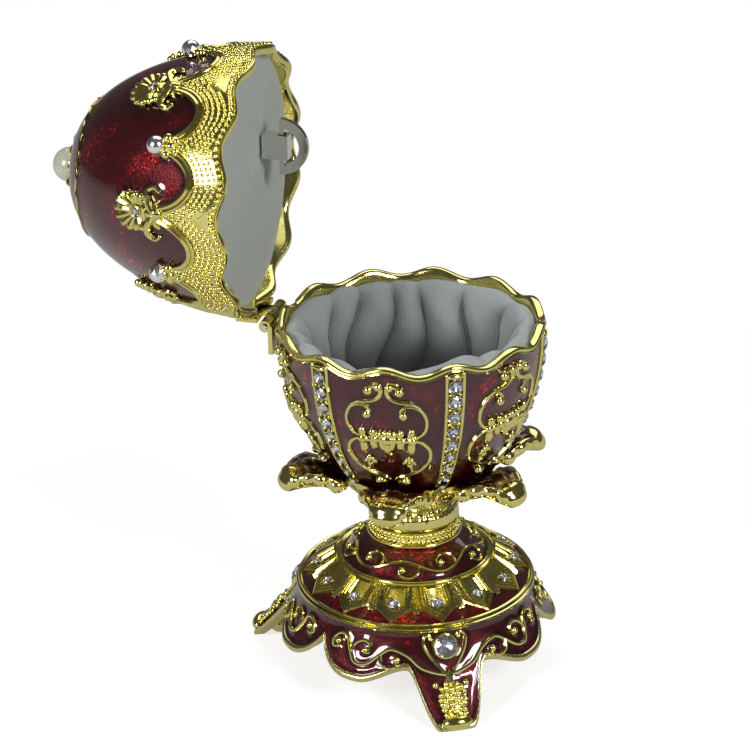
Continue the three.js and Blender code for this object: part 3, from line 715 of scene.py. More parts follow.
# %% Feet and lobes
for deg in FEET:
    stone_s = float(skirt_s(13.3))
    set_stones(stand_stones, SKIRT, deg, stone_s, 2.1, 0.75)
    ringed = np.radians(np.arange(36) * 10)
    u, s = 2.25 * np.cos(ringed), stone_s + 2.25 * np.sin(ringed)
    around = deg + np.degrees(u / SKIRT.radius(s))
    tube(stand_gold, SKIRT.at(around, s, 0.45), SKIRT.axes(around, s)[:, 2], 0.36, closed=True)
    tube(stand_gold, SKIRT.at(around, s, 0.1), SKIRT.axes(around, s)[:, 2], 0.5, closed=True)
    stand_gold.trace.append(np.column_stack([SKIRT.at(around, s), np.full(36, 0.5)]))
    lyre = [(.15, 8.0), (.9, 9.0), (2.3, 10.6), (3.5, 12.3), (4.1, 13.9), (3.9, 15.1), (3.1, 15.5),
            (2.6, 14.8)]
    stand_gold.draw(SKIRT, deg, [(u, skirt_s(z), 0.38) for u, z in lyre], mirror=True)
    stand_gold.drop(SKIRT, deg, 2.75, skirt_s(14.8), 0.5, mirror=True)
    stand_gold.drop(SKIRT, deg, 2.95, skirt_s(7.0), 0.68, shape=BALL, lift=0.5, mirror=True)
    stand_gold.draw(SKIRT, deg, [(0, skirt_s(8.9), .3), (0, skirt_s(8.2), .6), (0, skirt_s(7.4), .7)])
    stand_gold.drop(SKIRT, deg, 0, skirt_s(4.4), (2.3, 3.4, 0.5), shape=BALL, lift=0.1)
    for w, z in zip((1.0, 1.9, 2.3, 2.3, 2.2, 2.0, 1.8), (7.1, 6.3, 5.5, 4.7, 3.9, 3.1, 2.3)):
        for u in np.linspace(-w, w, int(w / 0.42) + 1):
            size = rng.uniform(0.48, 0.78, 3)
            stand_gold.drop(SKIRT, deg, u + rng.uniform(-.15, .15), skirt_s(z + rng.uniform(-.15, .15)),
                            size, rng.uniform(0, 90), lift=0.7)
    toe = math.radians(deg)
    away, side = np.array([math.cos(toe), math.sin(toe), 0]), np.array([-math.sin(toe), math.cos(toe), 0])
    set_down(stand_gold, BALL, away * 32.9 + [0, 0, 1.5], np.stack([side, away, [0, 0, 1]]),
             np.array([[3.1, 1.7, 1.5]]))
    set_down(stand_gold, BALL, away * 28.3 + [0, 0, 2.5], np.stack([side, away, [0, 0, 1]]),
             np.array([[3.8, 2.6, 2.4]]))
    for vine in (
        [(1.5, 8.6), (5, 8.9), (11.4, 9.9), (17.3, 11.9), (24.6, 12.9), (30, 11.6), (35.3, 9.9), (40.5, 9.9),
         (43.6, 11.7), (46.1, 13.7), (49.7, 14.2), (53.0, 13.0), (52.6, 11.7), (50.6, 11.7)],
        [(29.8, 11.7), (28.5, 10.3), (25.5, 9.7), (22.5, 10.0), (21.9, 11.1)],
        [(43.4, 11.7), (41.2, 13.2), (37.5, 13.9), (34.6, 13.3), (34.7, 12.0), (36.4, 11.8)],
    ):
        path = curve(vine, 6)
        for side in (-1, 1):
            around, s = deg + side * path[:, 0], skirt_s(path[:, 1])
            tube(stand_gold, SKIRT.at(around, s, 0.12), SKIRT.axes(around, s)[:, 2], 0.36)
            stand_gold.trace.append(np.column_stack([SKIRT.at(around, s), np.full(len(s), 0.36)]))
    for off, z in ((21.9, 11.1), (36.4, 12.2), (50.2, 12.7)):
        for side in (-1, 1):
            stand_gold.drop(SKIRT, deg + side * off, 0, skirt_s(z), 0.68, shape=BALL, lift=0.5)

# %% [markdown]
# A plaque is a five-sided shield in steps, like stacked bars of cut stone, with its point outward and one
# small stone on its floor. Shrinking the same five-sided outline gives each step; the faces stay flat and
# crisp, which is why this piece keeps its creases.

# %% Stepped plaques
plaques = Bits()
SHIELD = np.array([(-3.9, 10.6), (-3.9, 3.3), (0.0, 0.25), (3.9, 3.3), (3.9, 10.6)])


def shrink(outline, d):
    edge = unit(np.roll(outline, -1, 0) - outline)
    inward = np.stack([-edge[:, 1], edge[:, 0]], 1)
    if (inward[1] * (outline.mean(0) - outline[1])).sum() < 0:
        inward = -inward
    before = np.roll(inward, 1, 0)
    return outline + d * (inward + before) / (1 + (inward * before).sum(1, keepdims=True))


STEPS = [(0, 0.0), (0, .60), (.36, .72), (.46, .36), (.58, .80), (.98, .90), (1.08, .48), (1.2, .90),
         (1.58, .96), (1.7, .46), (1.82, .70), (2.1, .70), (2.2, .24)]
PLAQUES, FIRST_PLAQUE = 14, -62.8
for i in range(PLAQUES):
    centre = FIRST_PLAQUE + 360 / PLAQUES * i
    levels = []
    for d, out in STEPS:
        p = shrink(SHIELD, d)
        levels.append(SHOULDER.panel(centre, p[:, 0] * np.interp(p[:, 1], (0, 8), (1, 0.86)), p[:, 1], out))
    plaques.add(np.array(levels), lattice(len(STEPS), 5, wrap=True))
    plaques.add(levels[-1], [[0, 1, 2], [0, 2, 3], [0, 3, 4]])
    set_stones(stand_stones, SHOULDER, centre, 4.1, 1.12, 0.66)
    for u, start in ((-0.9, 3.3), (-0.3, 2.7), (0.3, 2.7), (0.9, 3.3)):
        ridge = SHOULDER.panel(centre + 180 / PLAQUES, np.linspace(u, u * 0.35, 6),
                               np.linspace(start, 8, 6), 0.42)
        tube(plaques, ridge, ridge * [1, 1, 0] + [0, 0, 20], 0.3, sides=4)
s, d = np.meshgrid(np.linspace(3.0, SHOULDER.s[-1], 4), np.linspace(0, 360, 361), indexing="ij")
plaques.add(SHOULDER.at(d, s, 0.26), lattice(4, 361))
plaques.build("stand_plaques", "box", "gold", [gold], crease=15)

# %% [markdown]
# The rings between the levels, the satin lip under the enamel and the hollow underside are plain turned rows.
# The lip's lowest row follows the edge formula, so the feet come down flat to the floor.

# %% Rings, lip and underside
a = np.radians(turn)
for r, z, thick in ((22.75, 17.15, .42), (23.25, 16.45, .36), (15.15, 21.75, .5), (14.6, 22.15, .3)):
    circle = np.stack([r * np.cos(a), r * np.sin(a), np.full(720, z)], -1)
    tube(stand_gold, circle[::2], np.tile([0, 0, 1.0], (360, 1)), thick, closed=True)
    stand_gold.trace.append(np.column_stack([circle, np.full(720, thick)]))
edge = edge_height(turn)
lip_rows = []
for above, out in ((1.25, -.12), (1.1, .12), (.88, .26), (.6, .28), (.35, .16), (.15, -.05), (.02, -.4)):
    s = skirt_s(np.minimum(edge + above, 16.2))
    lip_rows.append(SKIRT.at(turn, s, out))
stand_gold.trace.append(np.column_stack([SKIRT.at(turn, skirt_s(edge + 1.15)), np.full(720, 0.15)]))
radius = SKIRT.radius(skirt_s(edge))
for inward, above in ((1.2, 0.0), (2.1, 0.05), (2.45, .5)):
    r = radius - inward
    lip_rows.append(np.stack([r * np.cos(a), r * np.sin(a), edge + above], -1))
for share in (0.25, 0.5, 0.75, 1.0):
    z = edge + 0.5 + (15.1 - edge - 0.5) * share
    r = SKIRT.radius(skirt_s(z)) - 2.45
    lip_rows.append(np.stack([r * np.cos(a), r * np.sin(a), z], -1))
for r, z in ((13, 20.6), (8.4, 24.0), (0.01, 24.4)):
    lip_rows.append(np.stack([r * np.cos(a), r * np.sin(a), np.full(720, float(z))], -1))
lip_rows = np.array(lip_rows)
lip_rows[..., 2] = np.maximum(lip_rows[..., 2], 0)
skirt_lip = Bits()
skirt_lip.add(lip_rows, lattice(len(lip_rows), 720, wrap=True))
skirt_lip.build("stand_lip", "box", "gold", [satin_gold])
stand_gold.build("stand_goldwork", "box", "gold", [gold])
cad_stones = [f"foot_stone_{i}" for i in range(1, 4)] + [f"plaque_stone_{i}" for i in range(1, PLAQUES + 1)]
stand_stones.build("stand_stones", "box", "crystal", [crystal, foil_back], crease=5, stands_for=cad_stones)

# %% Red enamel of the stand
stand_enamel = Bits()
share = np.linspace(0, 1, 52)
d = np.broadcast_to(np.linspace(0, 360, 521), (52, 521))
s = skirt_s(16.6) * (1 - share)[:, None] + skirt_s(edge_height(d[0]) + 1.05)[None] * share[:, None]
enamel_sheet(stand_enamel, SKIRT, d, s, [stand_gold.trace])
s, d = np.meshgrid(np.linspace(0, DOME.s[-1], 24), np.linspace(0, 360, 421), indexing="ij")
enamel_sheet(stand_enamel, DOME, d, s, [stand_gold.trace])
s, d = np.meshgrid(np.linspace(0, SHOULDER.s[-1], 6), np.linspace(0, 360, 361), indexing="ij")
stand_enamel.add(SHOULDER.at(d, s, 0.12), lattice(6, 361), 0, 0.15)
stand_enamel.build("stand_enamel", "box", "enamel", [red], stands_for=["stand"])

# %% [markdown]
# ## Neck and calyx
# The neck is turned: a smooth flange, two rings of small beads, a groove, and a bell whose surface is
# chased with overlapping leaves. Six leaves spread from its top. Each is cast thick, with a rolled scalloped
# edge and a heavy bulb for a tip, so its gold is melted together from overlapping balls and tubes.

# %% Turned neck
neck = Wires()
foot = 26.7
NECK = [(8.3, -.4), (8.9, -.1), (9.25, .15), (9.35, .45), (9.2, .75), (8.8, .9), (8.5, 1.0), (8.5, 1.6),
        (8.35, 2.0), (8.4, 2.7), (8.1, 2.9), (7.95, 3.1), (8.1, 3.3), (8.6, 3.5), (8.85, 3.8), (8.8, 4.2)]
a2 = np.radians(np.arange(360))
rows = np.array([np.stack([r * np.cos(a2), r * np.sin(a2), np.full(360, foot + z)], -1) for r, z in NECK])
neck.add(rows, lattice(len(NECK), 360, wrap=True))
bell = curve([(8.8, 4.2), (8.75, 4.8), (8.3, 6.0), (7.3, 7.4), (7.1, 8.2), (7.9, 9.0), (10.4, 10.3),
              (13.4, 12.3), (15.7, 14.5), (17.0, 16.5)], 10)
BELL = Turned(bell + [0, foot])
s, d = np.meshgrid(np.linspace(0, BELL.s[-1], 64), np.linspace(0, 360, 289), indexing="ij")
tier = np.abs(np.sin(np.radians(d * 6) + np.floor(s / 2.6) * 1.57))
vein = np.abs(np.sin(np.radians(d * 24)))
chase = (0.42 * (1 - (s / 2.6) % 1) * tier + 0.10 * vein) * ease((s - 0.6) / 1.0)
neck.add(BELL.at(d, s, chase), lattice(64, 289))
for r, z, size in ((8.75, 1.3, 0.44), (8.5, 2.35, 0.48)):
    for t in np.radians(np.arange(56) * 360 / 56 + z * 10):
        set_down(neck, GRAIN, np.array([r * math.cos(t), r * math.sin(t), foot + z]), np.eye(3), size)

# %% [markdown]
# One leaf is built lying along +X, its gold parts are fused by a fine voxel remesh and smoothed, and then six
# copies are turned into place. Fusing is what gives the soft, poured look of a casting; separate balls would
# show hard lines where they meet.

# %% Fused gold of a leaf
spine = curve([(15.0, 41.2, 4.2), (17.0, 43.0, 5.8), (19.0, 44.3, 5.6), (21.0, 44.9, 4.9), (22.8, 44.8, 3.9),
               (24.4, 43.9, 3.3), (25.8, 42.4, 2.6)], 8)


def on_leaf(t, v, up=0.0):
    """A point of the leaf: t from root to tip, v from edge to edge."""
    i = np.clip(np.asarray(t, float), 0, 1) * (len(spine) - 1)
    r, z, w = (np.interp(i, np.arange(len(spine)), spine[:, k]) for k in range(3))
    return np.stack([r, w * v, z - 0.9 * np.abs(v) ** 2.5 + up + 0 * v], -1)


def fuse(bits, voxel, rounds):
    mesh = bpy.data.meshes.new("fusing")
    faces = [tuple(int(i) for i in f) for block in bits.faces for f in block]
    mesh.from_pydata([tuple(p) for p in np.vstack(bits.points)], [], faces)
    piece = bpy.data.objects.new("fusing", mesh)
    bpy.context.scene.collection.objects.link(piece)
    remesh = piece.modifiers.new("fuse", "REMESH")
    remesh.mode, remesh.voxel_size = "VOXEL", voxel
    soften = piece.modifiers.new("soften", "SMOOTH")
    soften.factor, soften.iterations = 0.5, rounds
    done = piece.evaluated_get(bpy.context.evaluated_depsgraph_get()).to_mesh()
    points = np.array([v.co for v in done.vertices])
    quads = np.array([tuple(f.vertices) for f in done.polygons])
    bpy.data.objects.remove(piece)
    bpy.data.meshes.remove(mesh)
    return points, quads


leaf = Bits()
for v in (-1, 1):
    t = np.linspace(0.02, 0.80, 30)
    tube(leaf, on_leaf(t, v * np.ones(30), -0.1), np.tile([0, 0, 1.0], (30, 1)), 0.62, sides=8)
    for t0, size in ((0.20, 1.6), (0.43, 1.45), (0.63, 1.2)):
        centre = on_leaf(t0, v * 1.0, -0.75)
        set_down(leaf, BALL, centre, np.eye(3), np.array([[size, size * 0.85, size * 0.95]]))
set_down(leaf, BALL, [[24.5, 0, 42.2]], np.eye(3), np.array([[2.4, 3.7, 2.3]]))
set_down(leaf, BALL, [[25.6, 0, 41.5]], np.eye(3), np.array([[1.8, 3.0, 1.9]]))
t, v = np.meshgrid(np.linspace(0, .85, 40), np.linspace(-1, 1, 24), indexing="ij")
under = on_leaf(t, v, -1.2)
over = on_leaf(t, v, -0.25)
slab = lattice(40, 24)
leaf.add(np.concatenate([over.reshape(-1, 3), under.reshape(-1, 3)]), np.vstack([slab, slab[:, ::-1] + 960]))
edge_loop = np.concatenate([np.arange(24), np.arange(1, 40) * 24 + 23, np.arange(22, -1, -1) + 39 * 24,
                            np.arange(38, 0, -1) * 24])
rim_faces = np.stack([edge_loop, np.roll(edge_loop, -1), np.roll(edge_loop, -1) + 960, edge_loop + 960], 1)
leaf.faces.append(rim_faces[:, ::-1])
leaf_points, leaf_faces = fuse(leaf, 0.29, 4)
print("fused leaf:", len(leaf_points), "points")

# %% Six leaves and their enamel
leaf_enamel = Bits()
t, v = np.meshgrid(np.linspace(0.0, 0.83, 44), np.linspace(-0.92, 0.92, 44), indexing="ij")
groove = np.cos(v * 7.5) * ease(t * 2.5)
tip = ease((t - 0.58) / 0.27)
up = -0.02 + 0.14 * groove - 0.2 * (np.abs(v) < .9)
field = on_leaf(t, v, 0.22 + 0.16 * groove)
shade = np.clip(0.95 * tip + 0.22 * np.maximum(-groove, 0) ** 2 * ease(t * 3), 0, 1)
for deg in PANELS:
    c, s = math.cos(math.radians(deg)), math.sin(math.radians(deg))
    spin = np.array([[c, s, 0], [-s, c, 0], [0, 0, 1]])
    neck.add(leaf_points @ spin, leaf_faces)
    leaf_enamel.add(field.reshape(-1, 3) @ spin, lattice(44, 44), 0, shade.ravel())
neck.build("calyx_goldwork", "box", "gold", [gold], crease=60, stands_for=["calyx_stem"])
leaf_enamel.build("calyx_enamel", "box", "enamel", [leaf_red])

# %% [markdown]
# ## The lid
# The lid's gold border rises to a shell on each panel line and to a trefoil under a round crystal between
# them. A U-shaped bay of enamel dips between each shell and crystal. One function gives the border's height
# at any angle, measured from the nearest shell; the same curve is the line of the arch wire.

# %% Border height and arches
lid_gold, lid_stones = Wires(), Bits()
PER_DEG = 0.432
ARCH = curve([(1.0, 14.6), (1.25, 12.6), (2.0, 10.4), (3.2, 8.4), (4.9, 6.9), (6.6, 6.4), (8.4, 6.8),
              (9.9, 8.0), (10.9, 9.4), (11.5, 10.5)], 12)


def border_height(deg):
    x = np.abs((deg - PANELS[0] + 30) % 60 - 30) * PER_DEG
    return np.where(x < 1.0, 14.4, np.where(x > 11.5, 10.6, np.interp(x, ARCH[:, 0], ARCH[:, 1])))


rows = []
top = border_height(turn)
for part in np.linspace(0, 1, 12):
    rows.append(LID.at(turn, 0.4 + (top - 0.4) * part, 0.34 if 0 < part < 1 else 0.1))
lid_gold.add(np.array(rows), lattice(12, 720, wrap=True))
for deg in PANELS:
    for offset, thick in ((0.0, 0.52), (0.86, 0.38)):
        step = unit(np.gradient(ARCH, axis=0))
        line = ARCH + offset * np.stack([step[:, 1], -step[:, 0]], 1) * np.array([1, 1])
        line = line[(line[:, 0] > 0.7) & (line[:, 0] < 12.2)]
        for sign in (-1, 1):
            angle = deg + sign * line[:, 0] / PER_DEG
            normal = LID.axes(angle, line[:, 1])[:, 2]
            tube(lid_gold, LID.at(angle, line[:, 1], 0.42), normal, thick)
            lid_gold.trace.append(np.column_stack([LID.at(angle, line[:, 1]), np.full(len(line), thick)]))

# %% [markdown]
# The border is covered in granulation: rows of tiny beads that follow the arches, one row outside another,
# and a row of larger beads near the edge. Rows are found by stepping the arch curve outward and dropping any
# bead that would land on a neighbour's ground, on a plain three-cornered facet, or under the hinge.

# %% Granulation
beads, bead_size = [], []
step = unit(np.gradient(ARCH, axis=0))
outward = np.stack([step[:, 1], -step[:, 0]], 1)
mirrored = np.vstack([ARCH, ARCH * [-1, 1], [25.92, 0] - ARCH * [1, -1]])
for k, d in enumerate(np.arange(1.8, 9.6, 0.93)):
    line = ARCH + outward * d
    line = np.vstack([line[0] + [0, 0], line])
    run = np.concatenate([[0], np.cumsum(np.linalg.norm(np.diff(line, axis=0), axis=1))])
    at = np.arange(0.2 + 0.5 * (k % 2), run[-1], 0.98)
    spots = np.stack([np.interp(at, run, line[:, j]) for j in (0, 1)], 1)
    for spot in spots:
        gap = np.sqrt(((mirrored - spot) ** 2).sum(1)).min()
        facet = spot[1] < 5.6 and abs(spot[0]) < (5.6 - spot[1]) * 0.75
        flower = math.hypot(spot[0] - 12.96, spot[1] - 10.4) < 2.1
        if gap > d - 0.08 and 1.75 < spot[1] < 12.5 and 0 <= spot[0] < 12.97 and not facet and not flower:
            beads.append(spot)
            bead_size.append(rng.uniform(0.38, 0.47))
for x in np.arange(0.5, 12.9, 1.12):
    beads.append((x, 0.95))
    bead_size.append(0.50)
beads, bead_size = np.array(beads), np.array(bead_size)
for deg in PANELS:
    for sign in (-1, 1):
        angle = deg + sign * beads[:, 0] / PER_DEG
        keep = ~((np.abs((angle - 180 + 180) % 360 - 180) < 14) & (beads[:, 1] < 4.6))
        centres = LID.at(angle[keep], beads[keep, 1], 0.42)
        axes = LID.axes(angle[keep], beads[keep, 1])
        set_down(lid_gold, GRAIN, centres, axes, bead_size[keep])
    plate = np.array([(-2.6, 1.6, .2), (2.6, 1.6, .2), (0, 5.3, .2),
                      (-2.1, 1.9, .6), (2.1, 1.9, .6), (0, 4.7, .6)])
    lid_gold.add(LID.panel(deg, plate[:, 0], plate[:, 1], plate[:, 2]),
                 [[3, 4, 5], [0, 1, 4], [0, 4, 3], [1, 2, 5], [1, 5, 4], [2, 0, 3], [2, 3, 5]])
print("granules:", 12 * len(beads))

# %% [markdown]
# A scallop shell fans eleven flutes from a small stone towards the top of the lid, and two arms curl back
# from its foot. The round crystals stand in trefoils of balls on the ends of the bays.

# %% Shells, trefoils and crystals
for deg in PANELS:
    stone = 16.9
    lid_gold.drop(LID, deg, 0, stone + 0.9, (3.1, 3.3, 0.9), shape=BALL, lift=0.1)
    for fan in np.linspace(-110, 110, 11):
        a = math.radians(fan)
        reach = 3.25 + 1.15 * max(math.cos(a), 0)
        far = (reach * math.sin(a) * 0.93, stone + reach * math.cos(a))
        near = (0.9 * math.sin(a), stone + 0.9 * math.cos(a))
        mid = ((far[0] + near[0]) / 2, (far[1] + near[1]) / 2)
        lid_gold.draw(LID, deg, [(*near, .36), (*mid, .58), (*far, .72)], sides=8, sink=1.1, steps=5)
    for arm in ([(.5, 13.4, .75), (1.9, 14.2, .8), (3.2, 14.7, .75), (4.3, 14.4, .62), (4.9, 13.2, .5),
                 (4.3, 12.3, .42)],
                [(.6, 12.6, .6), (1.8, 13.0, .55), (2.5, 12.3, .42)]):
        lid_gold.draw(LID, deg, arm, mirror=True, sink=0.9)
    lid_gold.drop(LID, deg, 0, 13.6, (1.3, 1.9, 1.0), shape=BALL)
    set_stones(lid_stones, LID, deg, stone, 0.85, 1.25)
    ringed = np.radians(np.arange(24) * 15)
    around = deg + np.degrees(0.95 * np.cos(ringed) / LID.radius(stone))
    tube(lid_gold, LID.at(around, stone + .95 * np.sin(ringed), 1.1),
         LID.axes(around, stone + .95 * np.sin(ringed))[:, 2], .22, closed=True)
lid_crystals = Bits()
rows9 = [ring_of(10, math.sin(math.radians(p)), math.cos(math.radians(p)), 18 * (k % 2))
         for k, p in enumerate((18, 40, 62, 84, 106, 128, 150))]
FACETED = hull(np.vstack(rows9))
for k, deg in enumerate(RIBS):
    for u, s, size in ((0, 10.5, 1.05), (1.5, 11.3, .95), (-1.5, 11.3, .95), (.9, 9.5, .8), (-.9, 9.5, .8),
                       (0, 8.5, .7)):
        lid_gold.drop(LID, deg, u, s, size, shape=BALL, lift=0.6)
    axes = LID.axes(deg, 13.1)
    set_down(lid_crystals, BALL if k in (0, 2) else FACETED, LID.at(deg, 13.3, 1.15), axes, 1.85)
    around = deg + np.degrees(1.45 * np.cos(ringed) / LID.radius(13.1))
    tube(lid_gold, LID.at(around, 13.1 + 1.45 * np.sin(ringed), 0.3),
         LID.axes(around, 13.1 + 1.45 * np.sin(ringed))[:, 2], .34, closed=True)

# %% [markdown]
# The lid's own lip mirrors the cup's. At the very top a thin scalloped plate carries a small dish of petals,
# and the pearl sits in it.

# %% Lid lip, rosette and pearl
LID_LIP = [(23.4, 3.4, 0), (23.75, 2.5, .5), (23.95, 1.1, .9), (24.15, .35, 1), (24.45, .06, 1),
           (24.8, -.02, 1), (25.2, 0, 1), (25.6, .05, 1), (25.82, .18, 1), (25.88, .36, 1),
           (25.78, .56, 1), (25.65, .65, 1)]
lip(lid_gold, 71.65, 1, LID_LIP)
lid_gold.trace.append(np.column_stack([LID.at(turn, 1.6), np.full(720, 0.2)]))
apex_angle = np.arange(0, 361.0)
scallop = LID.s[-1] - 12.4 - 0.45 * np.abs(np.cos(np.radians(apex_angle * 9)))
tube(lid_gold, LID.at(apex_angle, scallop, 0.06), LID.axes(apex_angle, scallop)[:, 2], 0.17)
lid_gold.trace.append(np.column_stack([LID.at(apex_angle, scallop), np.full(361, 0.12)]))
s = LID.s[-1]
for k in range(10):
    lid_gold.draw(LID, k * 36, [(0, s - 4.0, .3), (0, s - 3.2, .42), (0, s - 1.6, .4)], sink=0.6)
dish = [(3.0, 108.3), (3.25, 108.9), (3.15, 109.3), (2.9, 109.3), (2.5, 108.9), (1.6, 108.4), (0.01, 108.0)]
circle = np.radians(np.arange(90) * 4)
petal = 1 + 0.05 * np.cos(circle * 12)
lid_gold.add(np.array([np.stack([r * petal * np.cos(circle), r * petal * np.sin(circle), np.full(90, z)], -1)
                       for r, z in dish]), lattice(len(dish), 90, wrap=True))
lid_gold.build("lid_goldwork", "lid", "gold", [gold])
lid_stones.build("lid_shell_stones", "lid", "crystal", [crystal, foil_back], crease=5,
                 stands_for=[f"shell_stone_{i}" for i in range(1, 7)])
lid_crystals.build("lid_round_crystals", "lid", "crystal", [foil_back], crease=14,
                   stands_for=[f"lid_crystal_{i}" for i in range(1, 7)])
pearl = Bits()
PEARL_RADIUS, PEARL_HEIGHT = 3.4, 109.9
lat, lon = np.radians(np.meshgrid(np.linspace(0.5, 179.5, 48), np.linspace(0, 360, 73), indexing="ij"))
bead = PEARL_RADIUS * (1 + 0.006 * np.cos(3 * lon) * np.sin(lat) ** 2 - 0.01 * np.cos(lat) ** 8)
out = bead * np.sin(lat)
pearl_points = np.stack([out * np.cos(lon), out * np.sin(lon), PEARL_HEIGHT + bead * np.cos(lat)], -1)
pearl.add(pearl_points, lattice(48, 73))
pearl.build("apex_pearl", "lid", "pearl", [nacre], stands_for=["pearl"])

# %% Lid enamel
lid_enamel = Bits()
share = np.linspace(0, 1, 100)[:, None]
d = np.broadcast_to(np.linspace(0, 360, 481), (100, 481))
s = 4.5 + (LID.s[-1] - 4.6) * share + 0 * d
enamel_sheet(lid_enamel, LID, d, s, [lid_gold.trace], depth=0.2)
lid_enamel.build("lid_enamel", "lid", "enamel", [red], stands_for=["lid"])

# %% [markdown]
# ## Linings
# The lid is backed by a flat felt disc, glued in. The cup is lined with a bag of rib knit, gathered so that
# it stands in soft folds all round and dives to a deep hollow. The folds are sculpted: rounded bulges with
# sharp valleys between them, uneven in width, drifting sideways as they go down.

# %% Felt in the lid
felt_disc = Bits()
FELT_RADIUS, FELT_HEIGHT = 23.95, 73.8
r, deg = np.meshgrid(np.linspace(0.05, FELT_RADIUS, 30), np.linspace(0, 360, 181), indexing="ij")
sag = 0.10 * np.sin(r * 0.5 + 1) * np.cos(np.radians(deg * 2 + 40)) + 0.25 * ease((r - 22.3) / 1.6)
felt_points = np.stack([r * np.cos(np.radians(deg)), r * np.sin(np.radians(deg)), FELT_HEIGHT - sag], -1)
felt_disc.add(felt_points, lattice(30, 181))
felt_piece = felt_disc.build("lid_felt", "lid", "lining_felt", [felt], stands_for=["lid_lining"])

# %% Gathered knit in the cup
lining_bits = Bits()
bag = curve([(23.5, 66.4), (23.8, 67.9), (23.6, 69.2), (22.8, 69.9), (21.6, 69.6), (20.8, 68.2), (20.2, 65.6),
             (19.8, 61.6), (19.0, 57.0), (17.2, 51.6), (13.6, 46.6), (8.0, 43.2), (3.0, 42.0),
             (0.4, 41.8)], 12)
BAG = Turned(bag)
columns, rows_n = 430, 110
deg = np.linspace(0, 360, columns + 1)
s = np.linspace(0, BAG.s[-1], rows_n)
folds = 16
widths = rng.uniform(0.6, 1.5, folds)
knots = np.concatenate([[0], np.cumsum(widths)]) * 360 / widths.sum()
heights = rng.uniform(0.7, 1.25, folds) * (widths / widths.mean()) ** 0.4
s2, d2 = np.meshgrid(s, deg, indexing="ij")
down_share = s2 / BAG.s[-1]
drift = d2 + 14 * np.sin(np.radians(d2 * 2 + 20)) * down_share + 6 * np.sin(s2 * 0.17 + np.radians(d2 * 3))
drift = drift % 360
phase = np.interp(drift, knots, np.arange(folds + 1))
cell = np.minimum(phase.astype(int), folds - 1)
part = phase - cell
bulge = np.sin(np.pi * part) ** 0.65 * heights[cell]
crumple = np.sin(np.radians(drift * 9) + 0.35 * s2) * np.sin(0.42 * s2 + np.radians(d2 * 4)) \
    + 0.6 * np.sin(np.radians(d2 * 17) - 0.6 * s2)
strength = (0.22 + 0.78 * ease((s2 - 3.5) / 6)) * ease((s2 - 0.8) / 2) * (1 - 0.4 * ease((s2 - 28) / 14))
out = (0.9 - 2.7 * bulge) * strength - 0.17 * crumple * ease((s2 - 0.8) / 2)
soft = 0.8 * np.exp(-((s2 - 5.5) / 3.4) ** 2) * (1 + np.sin(np.radians(d2 * 2 + 60))) / 2
soft += 1.3 * np.exp(-((s2 - 5.0) / 2.6) ** 2) * np.exp(-((d2 - 314) / 15) ** 2)
surface = BAG.at(d2, s2, 0.0)
normal = BAG.axes(d2, s2)[..., 2, :]
inward = -1 if normal[55, 0, 0] > 0 else 1
lining_points = surface + normal * (inward * (-out + soft))[..., None]
# Painted shade, stored on the mesh for the knit's colour: darker deep in the bag, where little light gets in,
# and in the valleys between folds.
depth_shade = 0.9 * ease((s2 - 9) / 12)
valley_shade = 0.75 * np.clip(1 - bulge, 0, 1) ** 2 * ease((s2 - 4) / 5)
lining_bits.add(lining_points, lattice(rows_n, columns + 1), 0,
                (1 - (1 - depth_shade) * (1 - valley_shade)).ravel())
lining_bits.uv = np.stack([d2.ravel() * 0.42, s2.ravel()], 1)
lining_piece = lining_bits.build("cup_lining_knit", "box", "lining_cloth", [lining], crease=180,
                                 stands_for=["cup_lining"])

# %% [markdown]
# ## Carried-over metal
# The hinge, its pin and the lid's D-ring keep their CAD shapes, which are already right, and only take the
# plated finishes.

# %% Finishes for the hinge and ring
for name, finish_for in (("hinge_leaf_cup", gold), ("hinge_leaf_lid", gold), ("hinge_pin", steel),
                         ("half_ring", steel), ("ring_tab", steel)):
    for holder in frame["nodes"][name].material_slots:
        holder.material = finish_for
print("hinge and ring plated")

# %% [markdown]
# ## Studio
# A pale floor, a pale room, two soft boxes near the camera's height and a broad soft light above. The room is
# bright to the camera but dim to reflections, because polished gold looks like gold only when it has
# something dark to reflect beside the lights.

# %% Floor and world
floor_bits = bpy.data.meshes.new("floor")
edge_of = np.linspace(-1.6, 1.6, 9)
fx, fy = np.meshgrid(edge_of, edge_of, indexing="ij")
floor_bits.from_pydata(np.stack([fx.ravel(), fy.ravel(), 0 * fx.ravel()], 1).tolist(), [],
                       [[int(i) for i in f] for f in lattice(9, 9)])
floor = bpy.data.objects.new("floor", floor_bits)
bpy.context.scene.collection.objects.link(floor)
paper, tree, shader = finish("floor_paper", Roughness=0.9, Specular_IOR_Level=0.2)
tooth = node(tree, "TexNoise", {"Scale": 300.0, "Detail": 3.0},
             {"Vector": node(tree, "TexCoord").outputs["Object"]})
tint = node(tree, "Mix", {"A": (0.40, 0.40, 0.40, 1), "B": (0.43, 0.43, 0.43, 1)},
            {"Factor": tooth.outputs["Fac"]}, data_type="RGBA")
tree.links.new(tint.outputs["Result"], shader.inputs["Base Color"])
seen = node(tree, "Mix", {"A": (0.16, 0.16, 0.16, 1), "B": (0.74, 0.74, 0.74, 1)},
            {"Factor": node(tree, "LightPath").outputs["Is Camera Ray"]}, data_type="RGBA")
tree.links.new(seen.outputs["Result"], shader.inputs["Emission Color"])
shader.inputs["Emission Strength"].default_value = 1.0
floor_bits.materials.append(paper)

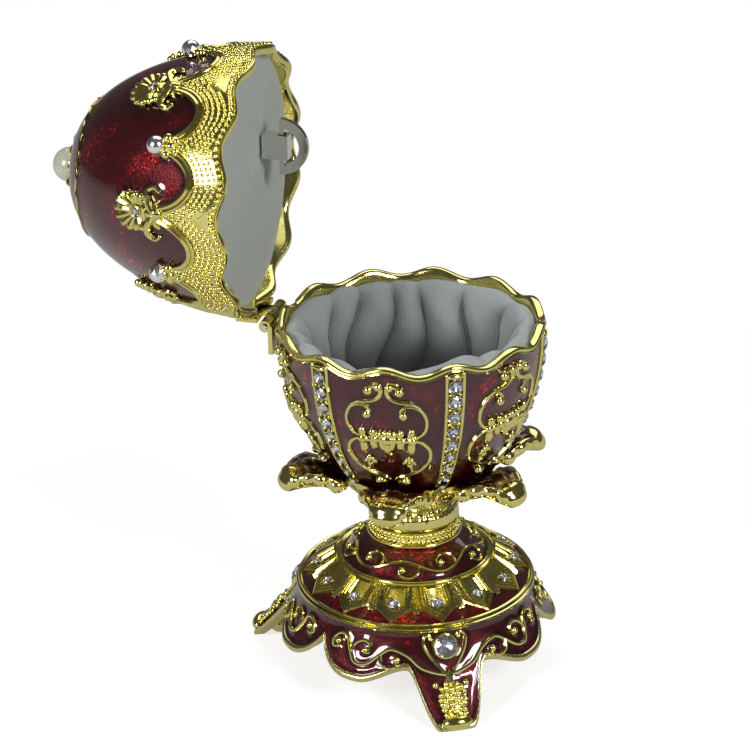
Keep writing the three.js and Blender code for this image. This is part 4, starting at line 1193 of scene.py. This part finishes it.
world = bpy.data.worlds.new("room")
world.use_nodes = True
bpy.context.scene.world = world
tree = world.node_tree
ground = tree.nodes["Background"]
path = node(tree, "LightPath")
sky = node(tree, "Mix", {"A": (0.075, 0.075, 0.077, 1), "B": (1.0, 1.0, 1.0, 1)},
           {"Factor": path.outputs["Is Camera Ray"]}, data_type="RGBA")
tree.links.new(sky.outputs["Result"], ground.inputs["Color"])


# %% Lamps
def softbox(name, azimuth, elevation, distance, size, power):
    lamp = bpy.data.lights.new(name, "AREA")
    lamp.shape, lamp.size, lamp.size_y, lamp.energy = "RECTANGLE", size[0], size[1], power
    holder = bpy.data.objects.new(name, lamp)
    bpy.context.scene.collection.objects.link(holder)
    a, e = math.radians(azimuth), math.radians(elevation)
    away = np.array([math.cos(e) * math.cos(a), math.cos(e) * math.sin(a), math.sin(e)])
    x = unit(np.cross([0, 0, 1], away))
    y = np.cross(away, x)
    centre = AXIS / 1000 + [0, 0, 0.06] + away * distance
    holder.matrix_world = placed(x, y, away, centre)


softbox("left_box", -122, 26, 0.9, (0.22, 0.30), 5.0)
softbox("right_box", -34, 30, 0.9, (0.22, 0.30), 5.0)
softbox("top_box", 95, 54, 1.3, (1.2, 1.0), 6.0)

# %% [markdown]
# The camera looks down by about 24 degrees from a little over half a metre, at a point between the open lid
# and the stand, with a long lens and a slight roll.

# %% Camera
lens_data = bpy.data.cameras.new("camera")
lens_data.lens, lens_data.sensor_width, lens_data.sensor_fit = 138.55, 36.0, "HORIZONTAL"
lens_data.clip_start = 0.05
camera = bpy.data.objects.new("camera", lens_data)
bpy.context.scene.collection.objects.link(camera)
look, tilt, roll = math.radians(15), math.radians(23.893), math.radians(-1.418)
right = np.array([math.cos(look), math.sin(look), 0])
up = np.array([-math.sin(look) * math.sin(tilt), math.cos(look) * math.sin(tilt), math.cos(tilt)])
back = np.array([math.sin(look) * math.cos(tilt), -math.cos(look) * math.cos(tilt), math.sin(tilt)])
across = right * math.cos(roll) + up * math.sin(roll)
upward = up * math.cos(roll) - right * math.sin(roll)
stand_at = (AXIS + [-6.97, -1.87, 59.88] + back * 553.4) / 1000
camera.matrix_world = placed(across, upward, back, stand_at)
bpy.context.scene.camera = camera
bpy.context.scene.view_settings.view_transform = "Standard"
